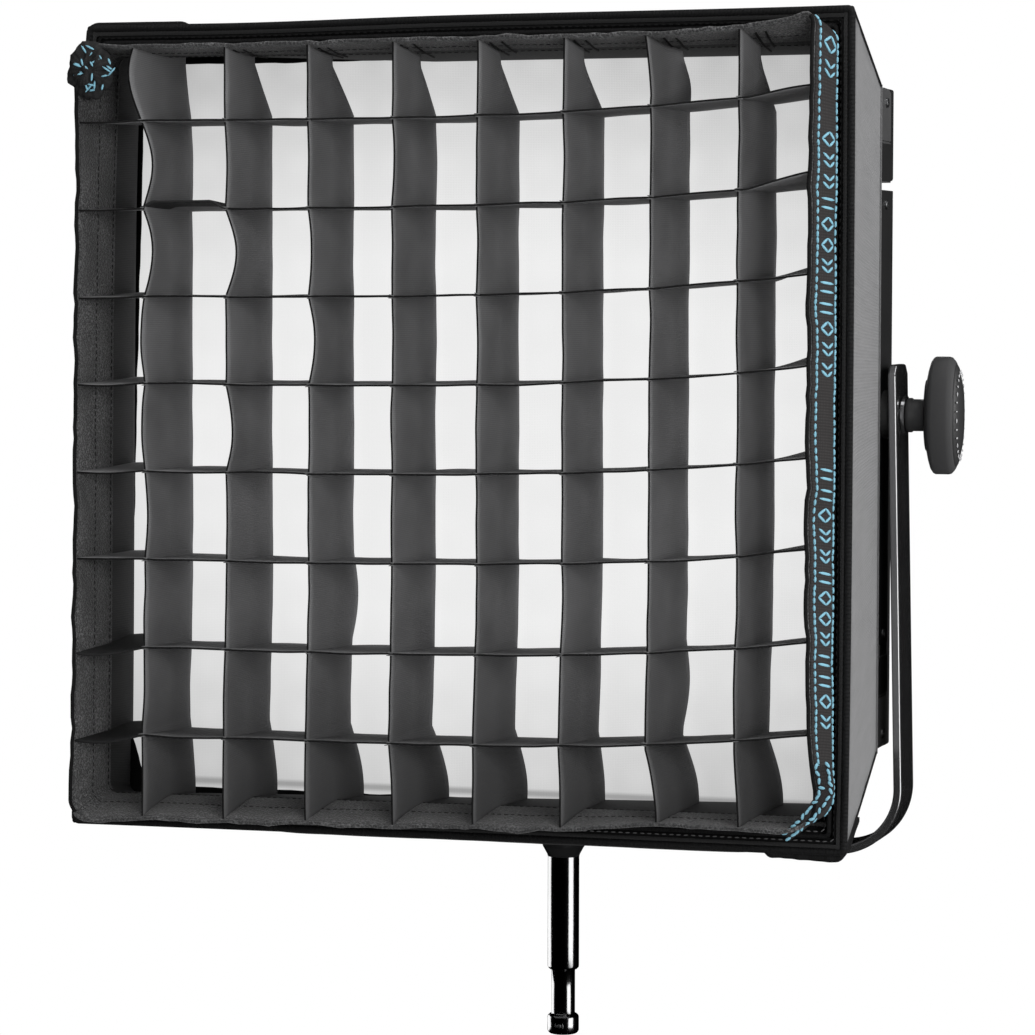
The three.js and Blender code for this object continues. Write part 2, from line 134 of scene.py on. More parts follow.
class Paint:
    """A Principled material and the nodes that feed it. Uniform numbers go straight onto its sockets."""

    def __init__(self, name, color, roughness, **sockets):
        self.material = bpy.data.materials.new(name)
        self.material.use_nodes = True
        self.tree = self.material.node_tree
        self.shader = self.tree.nodes["Principled BSDF"]
        self.shader.inputs["Base Color"].default_value = color
        self.shader.inputs["Roughness"].default_value = roughness
        for socket, value in sockets.items():
            self.shader.inputs[socket.replace("_", " ")].default_value = value

    def add(self, kind, inputs=None, **settings):
        node = self.tree.nodes.new(kind)
        for key, value in settings.items():
            setattr(node, key, value)
        for socket, value in (inputs or {}).items():
            if isinstance(value, bpy.types.NodeSocket):
                self.tree.links.new(value, node.inputs[socket])
            else:
                node.inputs[socket].default_value = value
        return node

    def place(self, source="Object"):
        return self.add("ShaderNodeTexCoord").outputs[source]

    def parts(self, place):
        return self.add("ShaderNodeSeparateXYZ", {0: place}).outputs

    def calc(self, operation, first, second=0.0):
        return self.add("ShaderNodeMath", {0: first, 1: second}, operation=operation).outputs[0]

    def noise(self, place, scale, detail=4.0, roughness=0.6, stretch=None):
        if stretch:
            place = self.add("ShaderNodeMapping", {0: place, 3: stretch}).outputs[0]
        inputs = {"Vector": place, "Scale": scale, "Detail": detail, "Roughness": roughness}
        return self.add("ShaderNodeTexNoise", inputs).outputs[0]

    def specks(self, place, size):
        cells = self.add("ShaderNodeTexVoronoi", {"Vector": place, "Scale": 1 / size})
        return cells.outputs["Distance"]

    def wave(self, along, pitch):
        turn = self.calc("MULTIPLY", along, 2 * math.pi / pitch)
        return self.calc("MULTIPLY_ADD", self.calc("SINE", turn), 0.5)

    def between(self, value, low, high):
        return self.add("ShaderNodeMapRange", {0: value, 1: low, 2: high}).outputs[0]

    def stripe(self, along, centre, half_width, edge):
        off = self.calc("ABSOLUTE", self.calc("SUBTRACT", along, centre))
        return self.between(off, half_width + edge, half_width)

    def mix(self, share, first, second):
        node = self.add("ShaderNodeMix", {0: share, 6: first, 7: second}, data_type="RGBA")
        return node.outputs[2]

    def paint(self, color):
        self.tree.links.new(color, self.shader.inputs["Base Color"])

    def rough(self, share, low, high):
        value = self.add("ShaderNodeMapRange", {0: share, 3: low, 4: high}).outputs[0]
        self.tree.links.new(value, self.shader.inputs["Roughness"])

    def bump(self, height, distance, strength=1.0):
        inputs = {"Height": height, "Distance": distance, "Strength": strength}
        node = self.add("ShaderNodeBump", inputs)
        self.tree.links.new(node.outputs[0], self.shader.inputs["Normal"])


def tinted(color, factor):
    """A colour made darker or lighter by a factor."""
    return tuple(min(1, part * factor) for part in color[:3]) + (1,)


def woven(name, color, pitch, roughness=0.9, contrast=0.35, wrinkles_and_shade=0.0):
    """A plain weave in the cloth's own directions, with slubs and soft cloudy wear.

    Wrinkled cloth also has faint folds, with painted shade and light across them in its colour, and painted
    shade that makes it darker towards the bottom of the head.
    """
    cloth = Paint(name, color, roughness, Specular_IOR_Level=0.15)
    place = cloth.place("UV")
    across = cloth.parts(place)
    warp = cloth.wave(across[0], pitch)
    weft = cloth.wave(across[1], pitch)
    threads = cloth.calc("MULTIPLY", warp, weft)
    slubs = cloth.noise(place, 900, 3, 0.7, stretch=(0.25, 2.2, 1))
    clouds = cloth.noise(place, 22, 3)
    height = cloth.calc("ADD", threads, cloth.calc("MULTIPLY", slubs, 0.8))
    shade = cloth.calc("ADD", cloth.calc("MULTIPLY", height, 0.45), cloth.calc("MULTIPLY", clouds, 0.35))
    if wrinkles_and_shade:
        # The folds bump the cloth and also paint their shade and light into its colour.
        folds = cloth.noise(cloth.place(), 42, 2, 0.5, stretch=(1.0, 0.55, 0.8))
        fold_shade = cloth.calc("SUBTRACT", folds, 0.5)
        shade = cloth.calc("ADD", shade, cloth.calc("MULTIPLY", fold_shade, 3.2 * wrinkles_and_shade))
        height = cloth.calc("ADD", height, cloth.calc("MULTIPLY", folds, 16 * wrinkles_and_shade))
    tone = cloth.mix(shade, tinted(color, 1 - contrast), tinted(color, 1 + contrast))
    # Painted shade: the cloth is darker towards the bottom of the head.
    if wrinkles_and_shade:
        up = cloth.between(cloth.parts(cloth.place())[2], HEAD_Z - 175 * MM, HEAD_Z - 85 * MM)
        tone = cloth.mix(up, tinted(color, 0.5), tone)
    cloth.paint(tone)
    cloth.rough(slubs, roughness - 0.08, min(1, roughness + 0.06))
    cloth.bump(height, 0.12 * MM)
    return cloth.material


def wall_cloth(color):
    """The softbox's stiff woven cloth, with painted shade where its front edge rolls in to the mouth."""
    cloth = Paint("wall_cloth", color, 0.9, Specular_IOR_Level=0.15, Sheen_Weight=0.15)
    place = cloth.place("UV")
    across = cloth.parts(place)
    threads = cloth.calc("MULTIPLY", cloth.wave(across[0], 1.7 * MM), cloth.wave(across[1], 1.7 * MM))
    ribs = cloth.noise(place, 260, 3, 0.6, stretch=(1.0, 0.06, 1))
    slubs = cloth.noise(place, 900, 3, 0.7, stretch=(0.25, 2.2, 1))
    clouds = cloth.noise(place, 16, 3)
    height = cloth.calc("ADD", threads, cloth.calc("MULTIPLY", slubs, 0.8))
    shade = cloth.calc("ADD", cloth.calc("MULTIPLY", height, 0.4), cloth.calc("MULTIPLY", clouds, 0.25))
    shade = cloth.calc("ADD", shade, cloth.calc("MULTIPLY", ribs, 0.4))
    tone = cloth.mix(shade, tinted(color, 0.5), tinted(color, 1.5))
    # Painted shade: near black where the front edge rolls in, and darker over the first few centimetres
    # behind it.
    roll_shade = cloth.between(across[1], 2 * MM, 9 * MM)
    shaded = cloth.between(across[1], 7 * MM, 30 * MM)
    tone = cloth.mix(shaded, tinted(color, 0.55), tone)
    cloth.paint(cloth.mix(roll_shade, tinted(color, 0.14), tone))
    cloth.rough(slubs, 0.82, 0.96)
    cloth.bump(height, 0.2 * MM)
    return cloth.material


def looped(name, color):
    """The loop half of a hook-and-loop strip: short curled fibres, with their glints painted as bright specks
    in patches.
    """
    cloth = Paint(name, color, 0.95, Specular_IOR_Level=0.15, Sheen_Weight=0.2, Sheen_Roughness=0.5)
    place = cloth.place()
    curls = cloth.specks(place, 1.0 * MM)
    fuzz = cloth.noise(place, 1400, 5, 0.8, stretch=(1, 0.6, 1))
    patches = cloth.noise(place, 38, 4)
    # Painted highlights: where the fuzz is high, in patches, it is painted up to four times the cloth's
    # colour.
    lit = cloth.between(cloth.calc("MULTIPLY", fuzz, cloth.calc("ADD", curls, 0.4)), 0.38, 0.68)
    lit = cloth.calc("MULTIPLY", lit, cloth.between(patches, 0.3, 0.72))
    cloth.paint(cloth.mix(lit, tinted(color, 0.6), tinted(color, 4.2)))
    cloth.bump(cloth.calc("ADD", curls, fuzz), 0.45 * MM)
    return cloth.material


def coated(name, color, roughness, grain, depth, **sockets):
    """Painted or moulded skin: fine grain, faint cloudy gloss and rubbed places."""
    skin = Paint(name, color, roughness, **sockets)
    place = skin.place()
    fine = skin.noise(place, 1 / grain, 5, 0.65)
    clouds = skin.noise(place, 18, 4)
    rubbed = skin.between(skin.noise(place, 140, 6, 0.8), 0.62, 0.8)
    base = skin.mix(clouds, tinted(color, 0.8), tinted(color, 1.25))
    skin.paint(skin.mix(rubbed, base, tinted(color, 1.9)))
    skin.rough(clouds, roughness - 0.06, roughness + 0.08)
    skin.bump(fine, depth)
    return skin.material


def brushed(name, color, roughness, axis, metallic=1.0):
    """Metal with fine lines drawn along one axis."""
    metal = Paint(name, color, roughness, Metallic=metallic)
    stretch = [260.0, 260.0, 260.0]
    stretch[axis] = 6.0
    lines = metal.noise(metal.place(), 6, 5, 0.7, stretch=stretch)
    stains = metal.noise(metal.place(), 35, 4)
    metal.paint(metal.mix(lines, tinted(color, 0.82), tinted(color, 1.15)))
    metal.rough(metal.calc("MULTIPLY", lines, stains), roughness - 0.08, roughness + 0.22)
    metal.bump(lines, 0.03 * MM)
    return metal.material


def glowing_cloth():
    """The diffuser: white cloth lit from behind, a little brighter over each LED and paler to the edges, with
    a painted shadow line along a fold near its bottom.
    """
    led_pitch, thread_pitch = 24 * MM, 0.8 * MM
    cloth = Paint("diffuser_cloth", grey(0.2), 0.9, Specular_IOR_Level=0.1, Emission_Strength=1.0)
    place = cloth.place()
    x, _, z = cloth.parts(place)
    dots = cloth.calc("MULTIPLY", cloth.wave(x, led_pitch), cloth.wave(z, led_pitch))
    up = cloth.calc("SUBTRACT", z, HEAD_Z - 4 * MM)
    far = cloth.calc("POWER", cloth.calc("ABSOLUTE", up), 2.0)
    wide = cloth.calc("MULTIPLY", cloth.calc("POWER", cloth.calc("ABSOLUTE", x), 2.0), 0.4)
    fall = cloth.between(cloth.calc("ADD", far, wide), 0.008, 0.042)
    clouds = cloth.noise(place, 14, 3)
    glow = cloth.mix(fall, grey(0.84), grey(0.43))
    glow = cloth.mix(cloth.calc("MULTIPLY", dots, 0.10), glow, grey(1.0))
    glow = cloth.mix(cloth.calc("MULTIPLY", clouds, 0.10), glow, grey(0.45))
    # A painted shadow line along a fold near the bottom of the sheet.
    fold = cloth.stripe(z, HEAD_Z - 173.5 * MM, 0.6 * MM, 1.8 * MM)
    glow = cloth.mix(cloth.calc("MULTIPLY", fold, 0.7), glow, grey(0.22))
    cloth.tree.links.new(glow, cloth.shader.inputs["Emission Color"])
    threads = cloth.calc("MULTIPLY", cloth.wave(x, thread_pitch), cloth.wave(z, thread_pitch))
    cloth.paint(cloth.mix(threads, grey(0.18), grey(0.24)))
    cloth.bump(cloth.calc("ADD", threads, cloth.noise(place, 40, 3)), 0.15 * MM)
    return cloth.material


def led_board():
    """A pale board with a small yellow phosphor square at each LED."""
    board = Paint("led_board", grey(0.8), 0.5)
    x, _, z = board.parts(board.place())
    led_pitch = 12 * MM
    spot = board.calc("MULTIPLY", board.wave(x, led_pitch), board.wave(z, led_pitch))
    chip = board.between(spot, 0.86, 0.9)
    mottle = board.noise(board.place(), 60, 3)
    base = board.mix(mottle, (0.78, 0.76, 0.7, 1), (0.86, 0.85, 0.8, 1))
    board.paint(board.mix(chip, base, (0.95, 0.72, 0.18, 1)))
    board.bump(chip, 0.4 * MM)
    return board.material


PAINTS = {
    "wall": wall_cloth((0.138, 0.138, 0.141, 1)),
    "trim": woven("trim_cloth", (0.008, 0.008, 0.0083, 1), 1.2 * MM, roughness=0.8),
    "piping": woven("piping_cloth", (0.012, 0.012, 0.0125, 1), 1.0 * MM, roughness=0.7),
    "thread": woven("seam_thread", (0.11, 0.11, 0.112, 1), 0.5 * MM, roughness=0.6),
    # Grid cloth with painted fold shade and painted shade towards the bottom of the head.
    "slat": woven("grid_cloth", (0.165, 0.165, 0.168, 1), 0.9 * MM, roughness=0.85, wrinkles_and_shade=0.3),
    "band": looped("loop_band", (0.044, 0.044, 0.045, 1)),
    "smooth_band": woven("band_lining", (0.042, 0.042, 0.043, 1), 0.9 * MM, roughness=0.8),
    "band_face": woven("band_face", (0.03, 0.028, 0.028, 1), 1.1 * MM, roughness=0.85, contrast=0.7),
    # Band cloth painted darker as painted shade, for bunched cloth and slat ends that lie in shadow.
    "scrap": woven("band_scrap_painted_shade", (0.02, 0.02, 0.0205, 1), 1.1 * MM, roughness=0.85, contrast=0.8,
                   wrinkles_and_shade=0.3),
    "diffuser": glowing_cloth(),
    "blue": woven("blue_thread", (0.22, 0.46, 0.6, 1), 0.6 * MM, roughness=0.6, contrast=0.75),
    "yoke": coated("yoke_coat", (0.3, 0.3, 0.306, 1), 0.2, 0.5 * MM, 0.012 * MM, Metallic=0.93),
    "stud": coated("stud_chrome", (0.5, 0.5, 0.505, 1), 0.13, 0.9 * MM, 0.006 * MM, Metallic=1.0),
    "collar": coated("collar_black", (0.012, 0.012, 0.0125, 1), 0.35, 0.9 * MM, 0.01 * MM, IOR=1.35),
    "steel": brushed("fastener_steel", (0.3, 0.305, 0.31, 1), 0.35, 0),
    "rail": brushed("rail_anodised", (0.006, 0.006, 0.0063, 1), 0.55, 2, metallic=0.0),
    "plastic": coated("frame_plastic", (0.055, 0.055, 0.056, 1), 0.5, 0.7 * MM, 0.05 * MM, IOR=1.35),
    "knob": coated("knob_grip", (0.046, 0.046, 0.047, 1), 0.62, 0.6 * MM, 0.09 * MM, IOR=1.35),
    "knob_face": coated("knob_face", (0.03, 0.03, 0.0305, 1), 0.45, 0.9 * MM, 0.03 * MM, IOR=1.35),
    "knob_neck": coated("knob_neck", (0.025, 0.025, 0.0255, 1), 0.6, 0.9 * MM, 0.02 * MM, IOR=1.35),
    "knob_mark": coated("knob_mark", (0.5, 0.5, 0.51, 1), 0.5, 0.9 * MM, 0.03 * MM, IOR=1.35),
    "plate": brushed("plate_aluminium", (0.6, 0.61, 0.62, 1), 0.4, 0),
    "board": led_board(),
    "rubber": coated("bush_rubber", (0.012, 0.012, 0.012, 1), 0.7, 0.8 * MM, 0.05 * MM),
}


# ---- Mesh helpers ----
def piece(name, data, paint, body="head", replaces=()):
    """A visible piece that rides on a body, standing in for the CAD nodes it replaces."""
    made = bpy.data.objects.new(name, data)
    bpy.context.scene.collection.objects.link(made)
    data.materials.append(PAINTS[paint])
    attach(made, body)
    if replaces:
        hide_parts(*replaces)
    return made


def mesh(name, points, faces, uvs=None, smooth=True):
    """A mesh from points and faces, with one UV place a point if they are given."""
    data = bpy.data.meshes.new(name)
    data.from_pydata([tuple(point) for point in points], [], faces)
    if uvs:
        layer = data.uv_layers.new(name="UVMap")
        for loop in data.loops:
            layer.data[loop.index].uv = uvs[loop.vertex_index]
    data.polygons.foreach_set("use_smooth", [smooth] * len(data.polygons))
    return data


def plain_piece(name, points, faces, paint, body="head"):
    """A visible piece made from points and faces alone."""
    return piece(name, mesh(name, points, faces), paint, body)


def cloth(name, place, counts, size, paint, thickness, replaces=(), edge_paint=None):
    """A sheet through place(u, v) for u and v from 0 to 1, with its weave laid out in metres."""
    columns, rows = counts
    points = []
    uvs = []
    for i in range(columns + 1):
        for j in range(rows + 1):
            u, v = i / columns, j / rows
            points.append(place(u, v))
            uvs.append((u * size[0], v * size[1]))
    faces = []
    for i in range(columns):
        for j in range(rows):
            start = i * (rows + 1) + j
            faces.append((start, start + 1, start + rows + 2, start + rows + 1))
    made = piece(name, mesh(name, points, faces, uvs), paint, replaces=replaces)
    solid = made.modifiers.new("thickness", "SOLIDIFY")
    solid.thickness = thickness
    solid.offset = 0
    if edge_paint:
        made.data.materials.append(PAINTS[edge_paint])
        solid.material_offset_rim = 1
    return made


def face_out(data):
    """Turn every face of a closed mesh to the outside."""
    shell = bmesh.new()
    shell.from_mesh(data)
    bmesh.ops.recalc_face_normals(shell, faces=shell.faces)
    shell.to_mesh(data)
    shell.free()


def ring_faces(first, count):
    """The faces between a ring of points that starts at first and the ring just before it."""
    faces = []
    for j in range(count):
        after = (j + 1) % count
        faces.append((first - count + j, first - count + after, first + after, first + j))
    return faces


def bevel(made, width, segments=2, angle=35):
    """Round the edges that are sharper than an angle."""
    edge = made.modifiers.new("bevel", "BEVEL")
    edge.width = width
    edge.segments = segments
    edge.limit_method = "ANGLE"
    edge.angle_limit = math.radians(angle)
    edge.harden_normals = True
    return made


def turn_profile(name, profile, axis, centre, paint, body, replaces=(), squeeze=1.0):
    """A turned piece: (radius, height) points along an axis, squeezed along Y where it isn't round."""
    segments = 96
    points = []
    faces = []
    uvs = []
    for i, (radius, height) in enumerate(profile):
        for j in range(segments):
            angle = 2 * math.pi * j / segments
            a, b = radius * math.cos(angle), radius * math.sin(angle)
            offset = Vector((height, a * squeeze, b)) if axis == "x" else Vector((a, b * squeeze, height))
            points.append(centre + offset)
            uvs.append((j / segments * 2 * math.pi * 0.01, i * MM))
        if i:
            faces += ring_faces(i * segments, segments)
    faces.append(tuple(range(segments))[::-1])
    faces.append(tuple(range(len(points) - segments, len(points))))
    data = mesh(name, points, faces, uvs)
    face_out(data)
    return piece(name, data, paint, body, replaces)


def cord_along(name, points, radius, paint, closed=False):
    """A round bead or seam sewn along a path."""
    data = bpy.data.curves.new(name, "CURVE")
    data.dimensions = "3D"
    spline = data.splines.new("POLY")
    spline.points.add(len(points) - 1)
    for knot, point in zip(spline.points, points):
        knot.co = (*point, 1)
    spline.use_cyclic_u = closed
    data.bevel_depth = radius
    data.bevel_resolution = 4
    data.use_fill_caps = True
    piece(name, data, paint)


def stitches(name, runs, pitch, length, width, paint, wobble=0.0):
    """Thread stitches: one short rounded bar a pitch along each run of (point, outward) pairs."""
    points = []
    faces = []
    for run in runs:
        travelled = 0.0
        due = 0.0
        for (start, out), (end, _) in zip(run, run[1:]):
            step = (end - start).length
            while due <= travelled + step and step > 0:
                centre = start.lerp(end, (due - travelled) / step)
                along = (end - start).normalized()
                if wobble:
                    along = (along + wobble * chance.uniform(-1, 1) * along.cross(out)).normalized()
                add_stitch(points, faces, centre, along, out, length, width)
                due += pitch * (1 + wobble * chance.uniform(-0.4, 0.4))
            travelled += step
    plain_piece(name, points, faces, paint)


def add_stitch(points, faces, centre, along, out, length, width):
    """Add one stitch to a mesh's points and faces: a four-sided bar, thinner at its ends."""
    side = along.cross(out).normalized()
    first = len(points)
    for share, swell in ((-0.5, 0.35), (-0.25, 1), (0.25, 1), (0.5, 0.35)):
        for k in range(4):
            angle = math.pi / 4 + k * math.pi / 2
            ring = side * math.cos(angle) * width / 2 * swell + out * math.sin(angle) * width / 3 * swell
            points.append(centre + along * share * length + ring)
    for i in range(3):
        faces += ring_faces(first + 4 * (i + 1), 4)
    faces.append((first + 3, first + 2, first + 1, first))
    faces.append((first + 12, first + 13, first + 14, first + 15))


# ---- Paths round the square ----
CORNERS = ("top_left", "top_right", "bottom_right", "bottom_left")
SIDE_ANGLE = {"top": 90, "right": 0, "bottom": -90, "left": 180}
CORNER_SIGNS = {"top_left": (-1, 1), "top_right": (1, 1), "bottom_right": (1, -1), "bottom_left": (-1, -1)}


def side_path(side, half, radii, straight=64, bend=8):
    """Points along one side of a rounded square, from mid-corner to mid-corner, clockwise from the front.

    Each is (x, z, angle of its outward direction), with z from the head's middle.
    """
    start, end = CORNERS[SIDES.index(side)], CORNERS[(SIDES.index(side) + 1) % 4]
    centres = {}
    for corner in (start, end):
        across, up = CORNER_SIGNS[corner]
        centres[corner] = Vector((across * (half[0] - radii[corner]), up * (half[1] - radii[corner])))
    facing = SIDE_ANGLE[side]
    path = []
    for step in range(bend + 1):
        angle = math.radians(facing + 45 * (1 - step / bend))
        place = centres[start] + radii[start] * direction(angle)
        path.append((place.x, place.y, angle))
    angle = math.radians(facing)
    out = direction(angle)
    first, last = centres[start] + radii[start] * out, centres[end] + radii[end] * out
    for step in range(1, straight):
        place = first.lerp(last, step / straight)
        path.append((place.x, place.y, angle))
    for step in range(bend + 1):
        angle = math.radians(facing - 45 * step / bend)
        place = centres[end] + radii[end] * direction(angle)
        path.append((place.x, place.y, angle))
    return path


def same_radii(radius):
    """The same radius at every corner."""
    return dict.fromkeys(CORNERS, radius)


def closed_path(half, radii, y):
    """The points of the whole way round a rounded square, at one depth."""
    return [at(x, y, z) for side in SIDES for x, z, _ in side_path(side, half, radii)[:-1]]


def sag(x, z, y):
    """How far the softbox's cloth has sunk from square at x, z from the head's middle: most at its mouth."""
    share = 1 - ramp(y, BOX_FRONT, BOX_REAR)
    moved = Vector((0, 0))
    for corner, (across, up, reach) in MOUTH_SAG.items():
        sign_x, sign_z = CORNER_SIGNS[corner]
        gap = math.hypot(x - sign_x * BOX_HALF[0], z - sign_z * BOX_HALF[1])
        moved += Vector((across, up)) * math.exp(-gap / (reach * MM))
    moved.y -= 1.6 * math.exp(-((x + 105 * MM) / (75 * MM)) ** 2) * ramp(z, 140 * MM, 189 * MM)
    return moved * share * MM


def sagged(point):
    """A point of the softbox's cloth, moved by its sag."""
    moved = sag(point.x, point.z - HEAD_Z, point.y)
    return point + Vector((moved.x, 0, moved.y))


# ---- Grid band: a loop strip round the grid, standing out of the softbox ----
BAND_RADII_FRONT = {"top_left": 9 * MM, "top_right": 5 * MM, "bottom_right": 20 * MM, "bottom_left": 8 * MM}
BAND_RADII_REAR = same_radii(5 * MM)
BAND_THICKNESS = 1.6 * MM
FLARE = {"left": 4.0 * MM, "right": 0.0, "top": 2.8 * MM, "bottom": 6.0 * MM}
# How deep the fuzzy loops go on the inside of each band, as a share of its depth. The rest is smooth lining.
FUZZY = {"left": 0.52, "right": 0.52, "top": 0.38, "bottom": 0.48}
# Across, up and reach of each corner's pull, in mm: on the softbox's mouth, and on the front of the band.
MOUTH_SAG = {
    "top_left": (7, -1.6, 75), "top_right": (-0.3, 1.2, 70),
    "bottom_right": (-1.4, -0.3, 70), "bottom_left": (-2.9, -0.6, 90),
}
BAND_PULL = {
    "top_left": (-5, 1, 32), "top_right": (1.5, 9, 26),
    "bottom_right": (10, -3.5, 26), "bottom_left": (-1.5, -1, 20),
}
# The course of the folded ribbon across the lower right corner, in mm from the head's middle.
RIBBON = ((181, -146), (183, -157), (180, -163), (175, -169), (170, -174), (164, -179))
# The blue figures between the band's two lines, as strokes from one (steps along, share of depth) to another.
FIGURES = (
    (((-0.6, 0.17), (0, 0.1)), ((0, 0.1), (0.6, 0.17)), ((0.6, 0.17), (0, 0.24)), ((0, 0.24), (-0.6, 0.17))),
    (((-0.4, 0.1), (-0.3, 0.24)), ((0.35, 0.1), (0.45, 0.24))),
    (
        ((-0.6, 0.11), (-0.1, 0.17)), ((-0.1, 0.17), (-0.6, 0.23)),
        ((0.05, 0.11), (0.55, 0.17)), ((0.55, 0.17), (0.05, 0.23)),
    ),
)


def settle(x, z, v):
    """How far the grid's cloth has moved at x, z from the head's middle and a share v of its depth.

    In front the bands flare out. Behind it, the right one bellies out and the top and bottom ones hang.
    """
    loose = max(0.0, 1 - v / 0.5) ** 1.3
    top, bottom = ramp(z, LEVEL_Z[-1], BAND_HALF[1]), ramp(-z, -LEVEL_Z[0], BAND_HALF[1])
    left, right = ramp(-x, -UPRIGHT_X[0], BAND_HALF[0]), ramp(x, UPRIGHT_X[-1], BAND_HALF[0])
    belly_peak, belly_end = 0.28, 0.42
    if v < belly_peak:
        belly = math.sin(math.pi / 2 * v / belly_peak) ** 1.4
    else:
        belly = math.cos(math.pi / 2 * ramp(v, belly_peak, belly_end)) ** 1.5
    across = right * 6.6 * MM * belly - left * (FLARE["left"] * loose + 1.6 * MM * v * v)
    top_hang = (5.0 * ramp(x, -120 * MM, -20 * MM) - 1.8) * MM
    bottom_hang = 1.4 * MM - 0.023 * x
    up = top * (FLARE["top"] * loose - top_hang * v * v)
    flare = FLARE["bottom"] * ramp(110 * MM - x, 0, 70 * MM) + 1.8 * MM * ramp(-x, 0, 90 * MM)
    up -= bottom * (flare * loose + bottom_hang * v * v)
    for corner, (pull_x, pull_z, reach) in BAND_PULL.items():
        sign_x, sign_z = CORNER_SIGNS[corner]
        gap = math.hypot(x - sign_x * BAND_HALF[0], z - sign_z * BAND_HALF[1])
        pull = loose * math.exp(-gap / (reach * MM)) * MM
        across += pull_x * pull
        up += pull_z * pull
    box = sag(x, z, BAND_FRONT + v * BAND_DEPTH)
    return across + box.x * max(left, right), up + box.y * max(top, bottom)


def ruffle(side, x, z, depth):
    """How far the band's cloth is puckered out of its line: loose in front and flat behind.

    It is most at the lower left.
    """
    along = x + z
    loose = max(0.0, 1 - depth / 0.55) ** 1.5
    ripple = noise.noise(Vector((along * 55, SIDES.index(side) * 7.3, depth * 2.5)))
    fine = noise.noise(Vector((along * 170, SIDES.index(side) * 3.1 + 40, depth * 4)))
    gap = math.hypot(x + BAND_HALF[0], z + BAND_HALF[1])
    return loose * (1.1 * MM * ripple + 0.7 * MM * fine) * (1 + 1.6 * math.exp(-gap / (25 * MM)))


def make_band(side):
    """One side of the band, with its edge and its two seams. It gives back what the marks and folds need."""
    front = side_path(side, BAND_HALF, BAND_RADII_FRONT)
    rear = side_path(side, BAND_HALF, BAND_RADII_REAR)
    steps = len(front) - 1
    inset = BAND_THICKNESS / 2

    def place(u, v):
        x, z, angle = front[round(u * steps)]
        share = v * v * (3 - 2 * v)
        flat = Vector((x, z)).lerp(Vector(rear[round(u * steps)][:2]), share)
        ends = math.sin(math.pi * u) ** 0.3 if 0 < u < 1 else 0
        flat += direction(angle) * (ruffle(side, x, z, v) * ends - inset)
        flat += Vector(settle(flat.x, flat.y, v))
        return at(flat.x, BAND_FRONT + v * BAND_DEPTH, flat.y)

    rows = 22
    size = (path_length(front), BAND_DEPTH)
    made = cloth(f"band_{side}", place, (steps, rows), size, "band", BAND_THICKNESS, [f"grid_band_{side}"])
    made.data.materials.append(PAINTS["smooth_band"])
    for polygon in made.data.polygons:
        if polygon.index % rows > FUZZY[side] * rows:
            polygon.material_index = 1
    edge = [place(i / steps, 0) for i in range(steps + 1)]
    cord_along(f"band_edge_{side}", edge, 0.9 * MM, "trim" if side in ("left", "right") else "band")
    for name, v in (("front", 0.26), ("rear", 0.5)):
        run = []
        for i in range(steps + 1):
            inward = -outward(front[i][2])
            run.append((place(i / steps, v) + inward * (inset + 0.1 * MM), inward))
        stitches(f"band_{side}_seam_{name}", [run], 3.2 * MM, 2.1 * MM, 0.7 * MM, "piping")
    return place, steps, front


def blue_marks(side, place, steps, front):
    """The smooth outer strip of the band, with two woven blue lines and plain figures between them."""
    inset = BAND_THICKNESS / 2 + 0.35 * MM
    start, depth = 0.015, 0.345
    lift = 0.35 * MM
    spacing = 1.8

    def outer(i, v, lift=0.0):
        out = outward(front[i][2])
        return place(i / steps, v) + out * (inset + lift), out

    def face(u, v):
        return outer(round(u * steps), start + v * depth)[0]

    size = (path_length(front), depth * BAND_DEPTH)
    strip = cloth(f"band_{side}_face", face, (steps, 10), size, "band_face", 0.4 * MM)
    lines = [[outer(i, v, lift) for i in range(steps + 1)] for v in (0.06, 0.285)]
    stitches(f"band_{side}_blue_lines", lines, 3.3 * MM, 2.9 * MM, 2.0 * MM, "blue", wobble=0.45)
    points = []
    faces = []

    def spot(i, v):
        near = math.floor(i)
        first, out = outer(near, v, lift)
        return first.lerp(outer(near + 1, v, lift)[0], i - near), out

    for number in range(round(steps / spacing)):
        i = 8.7 + spacing * number
        share = i / steps
        if i > steps - 7 or not (i < 12 or 0.18 < share < 0.46 or 0.55 < share < 0.85):
            continue
        for start_at, end_at in FIGURES[(number * 5 + number // 3) % 3]:
            first, out = spot(i + start_at[0], start_at[1])
            second, _ = spot(i + end_at[0], end_at[1])
            along = (second - first).normalized()
            add_stitch(points, faces, (first + second) / 2, along, out, (second - first).length, 1.6 * MM)
    plain_piece(f"band_{side}_motif", points, faces, "blue")


# ---- Grid slats ----
SLAT_THICKNESS = 0.9 * MM
# Swell of an upright slat's front and rear edges in mm, by (slat, cell), where the cloth is plainly slack.
SLACK_UPRIGHT = {
    (0, 0): (-5.5, -1), (0, 1): (4.8, 0.6), (0, 2): (4.4, 0.4), (0, 3): (-1.8, 0), (0, 4): (-1.5, 0),
    (0, 5): (1.2, 0.2), (1, 1): (1.0, 0), (1, 2): (5.2, 0), (1, 4): (3.0, -0.3), (2, 2): (1.4, -0.3),
    (2, 3): (3.1, 0), (2, 6): (0, 2.2), (3, 1): (1.1, 0.4), (6, 0): (1.0, 5.5), (6, 7): (0, 2.2),
}
# For each upright slat, in mm: how far its rear edge is drawn forward at the top, and how far its rear and
# front edges lean to the right at the bottom.
TOP_PULL = (5.344, 23.38, 30.06, 23.38, 31.73, 35.07, 30.06, 33.4)
BOTTOM_LEAN = (2.3, 3.5, 6.6, 8.2, 6.2, 3.4, 7.8, 6.9)
FRONT_LEAN = (0, 0, 0, 1.8, 0.3, 1.2, 5.0, 0.5)
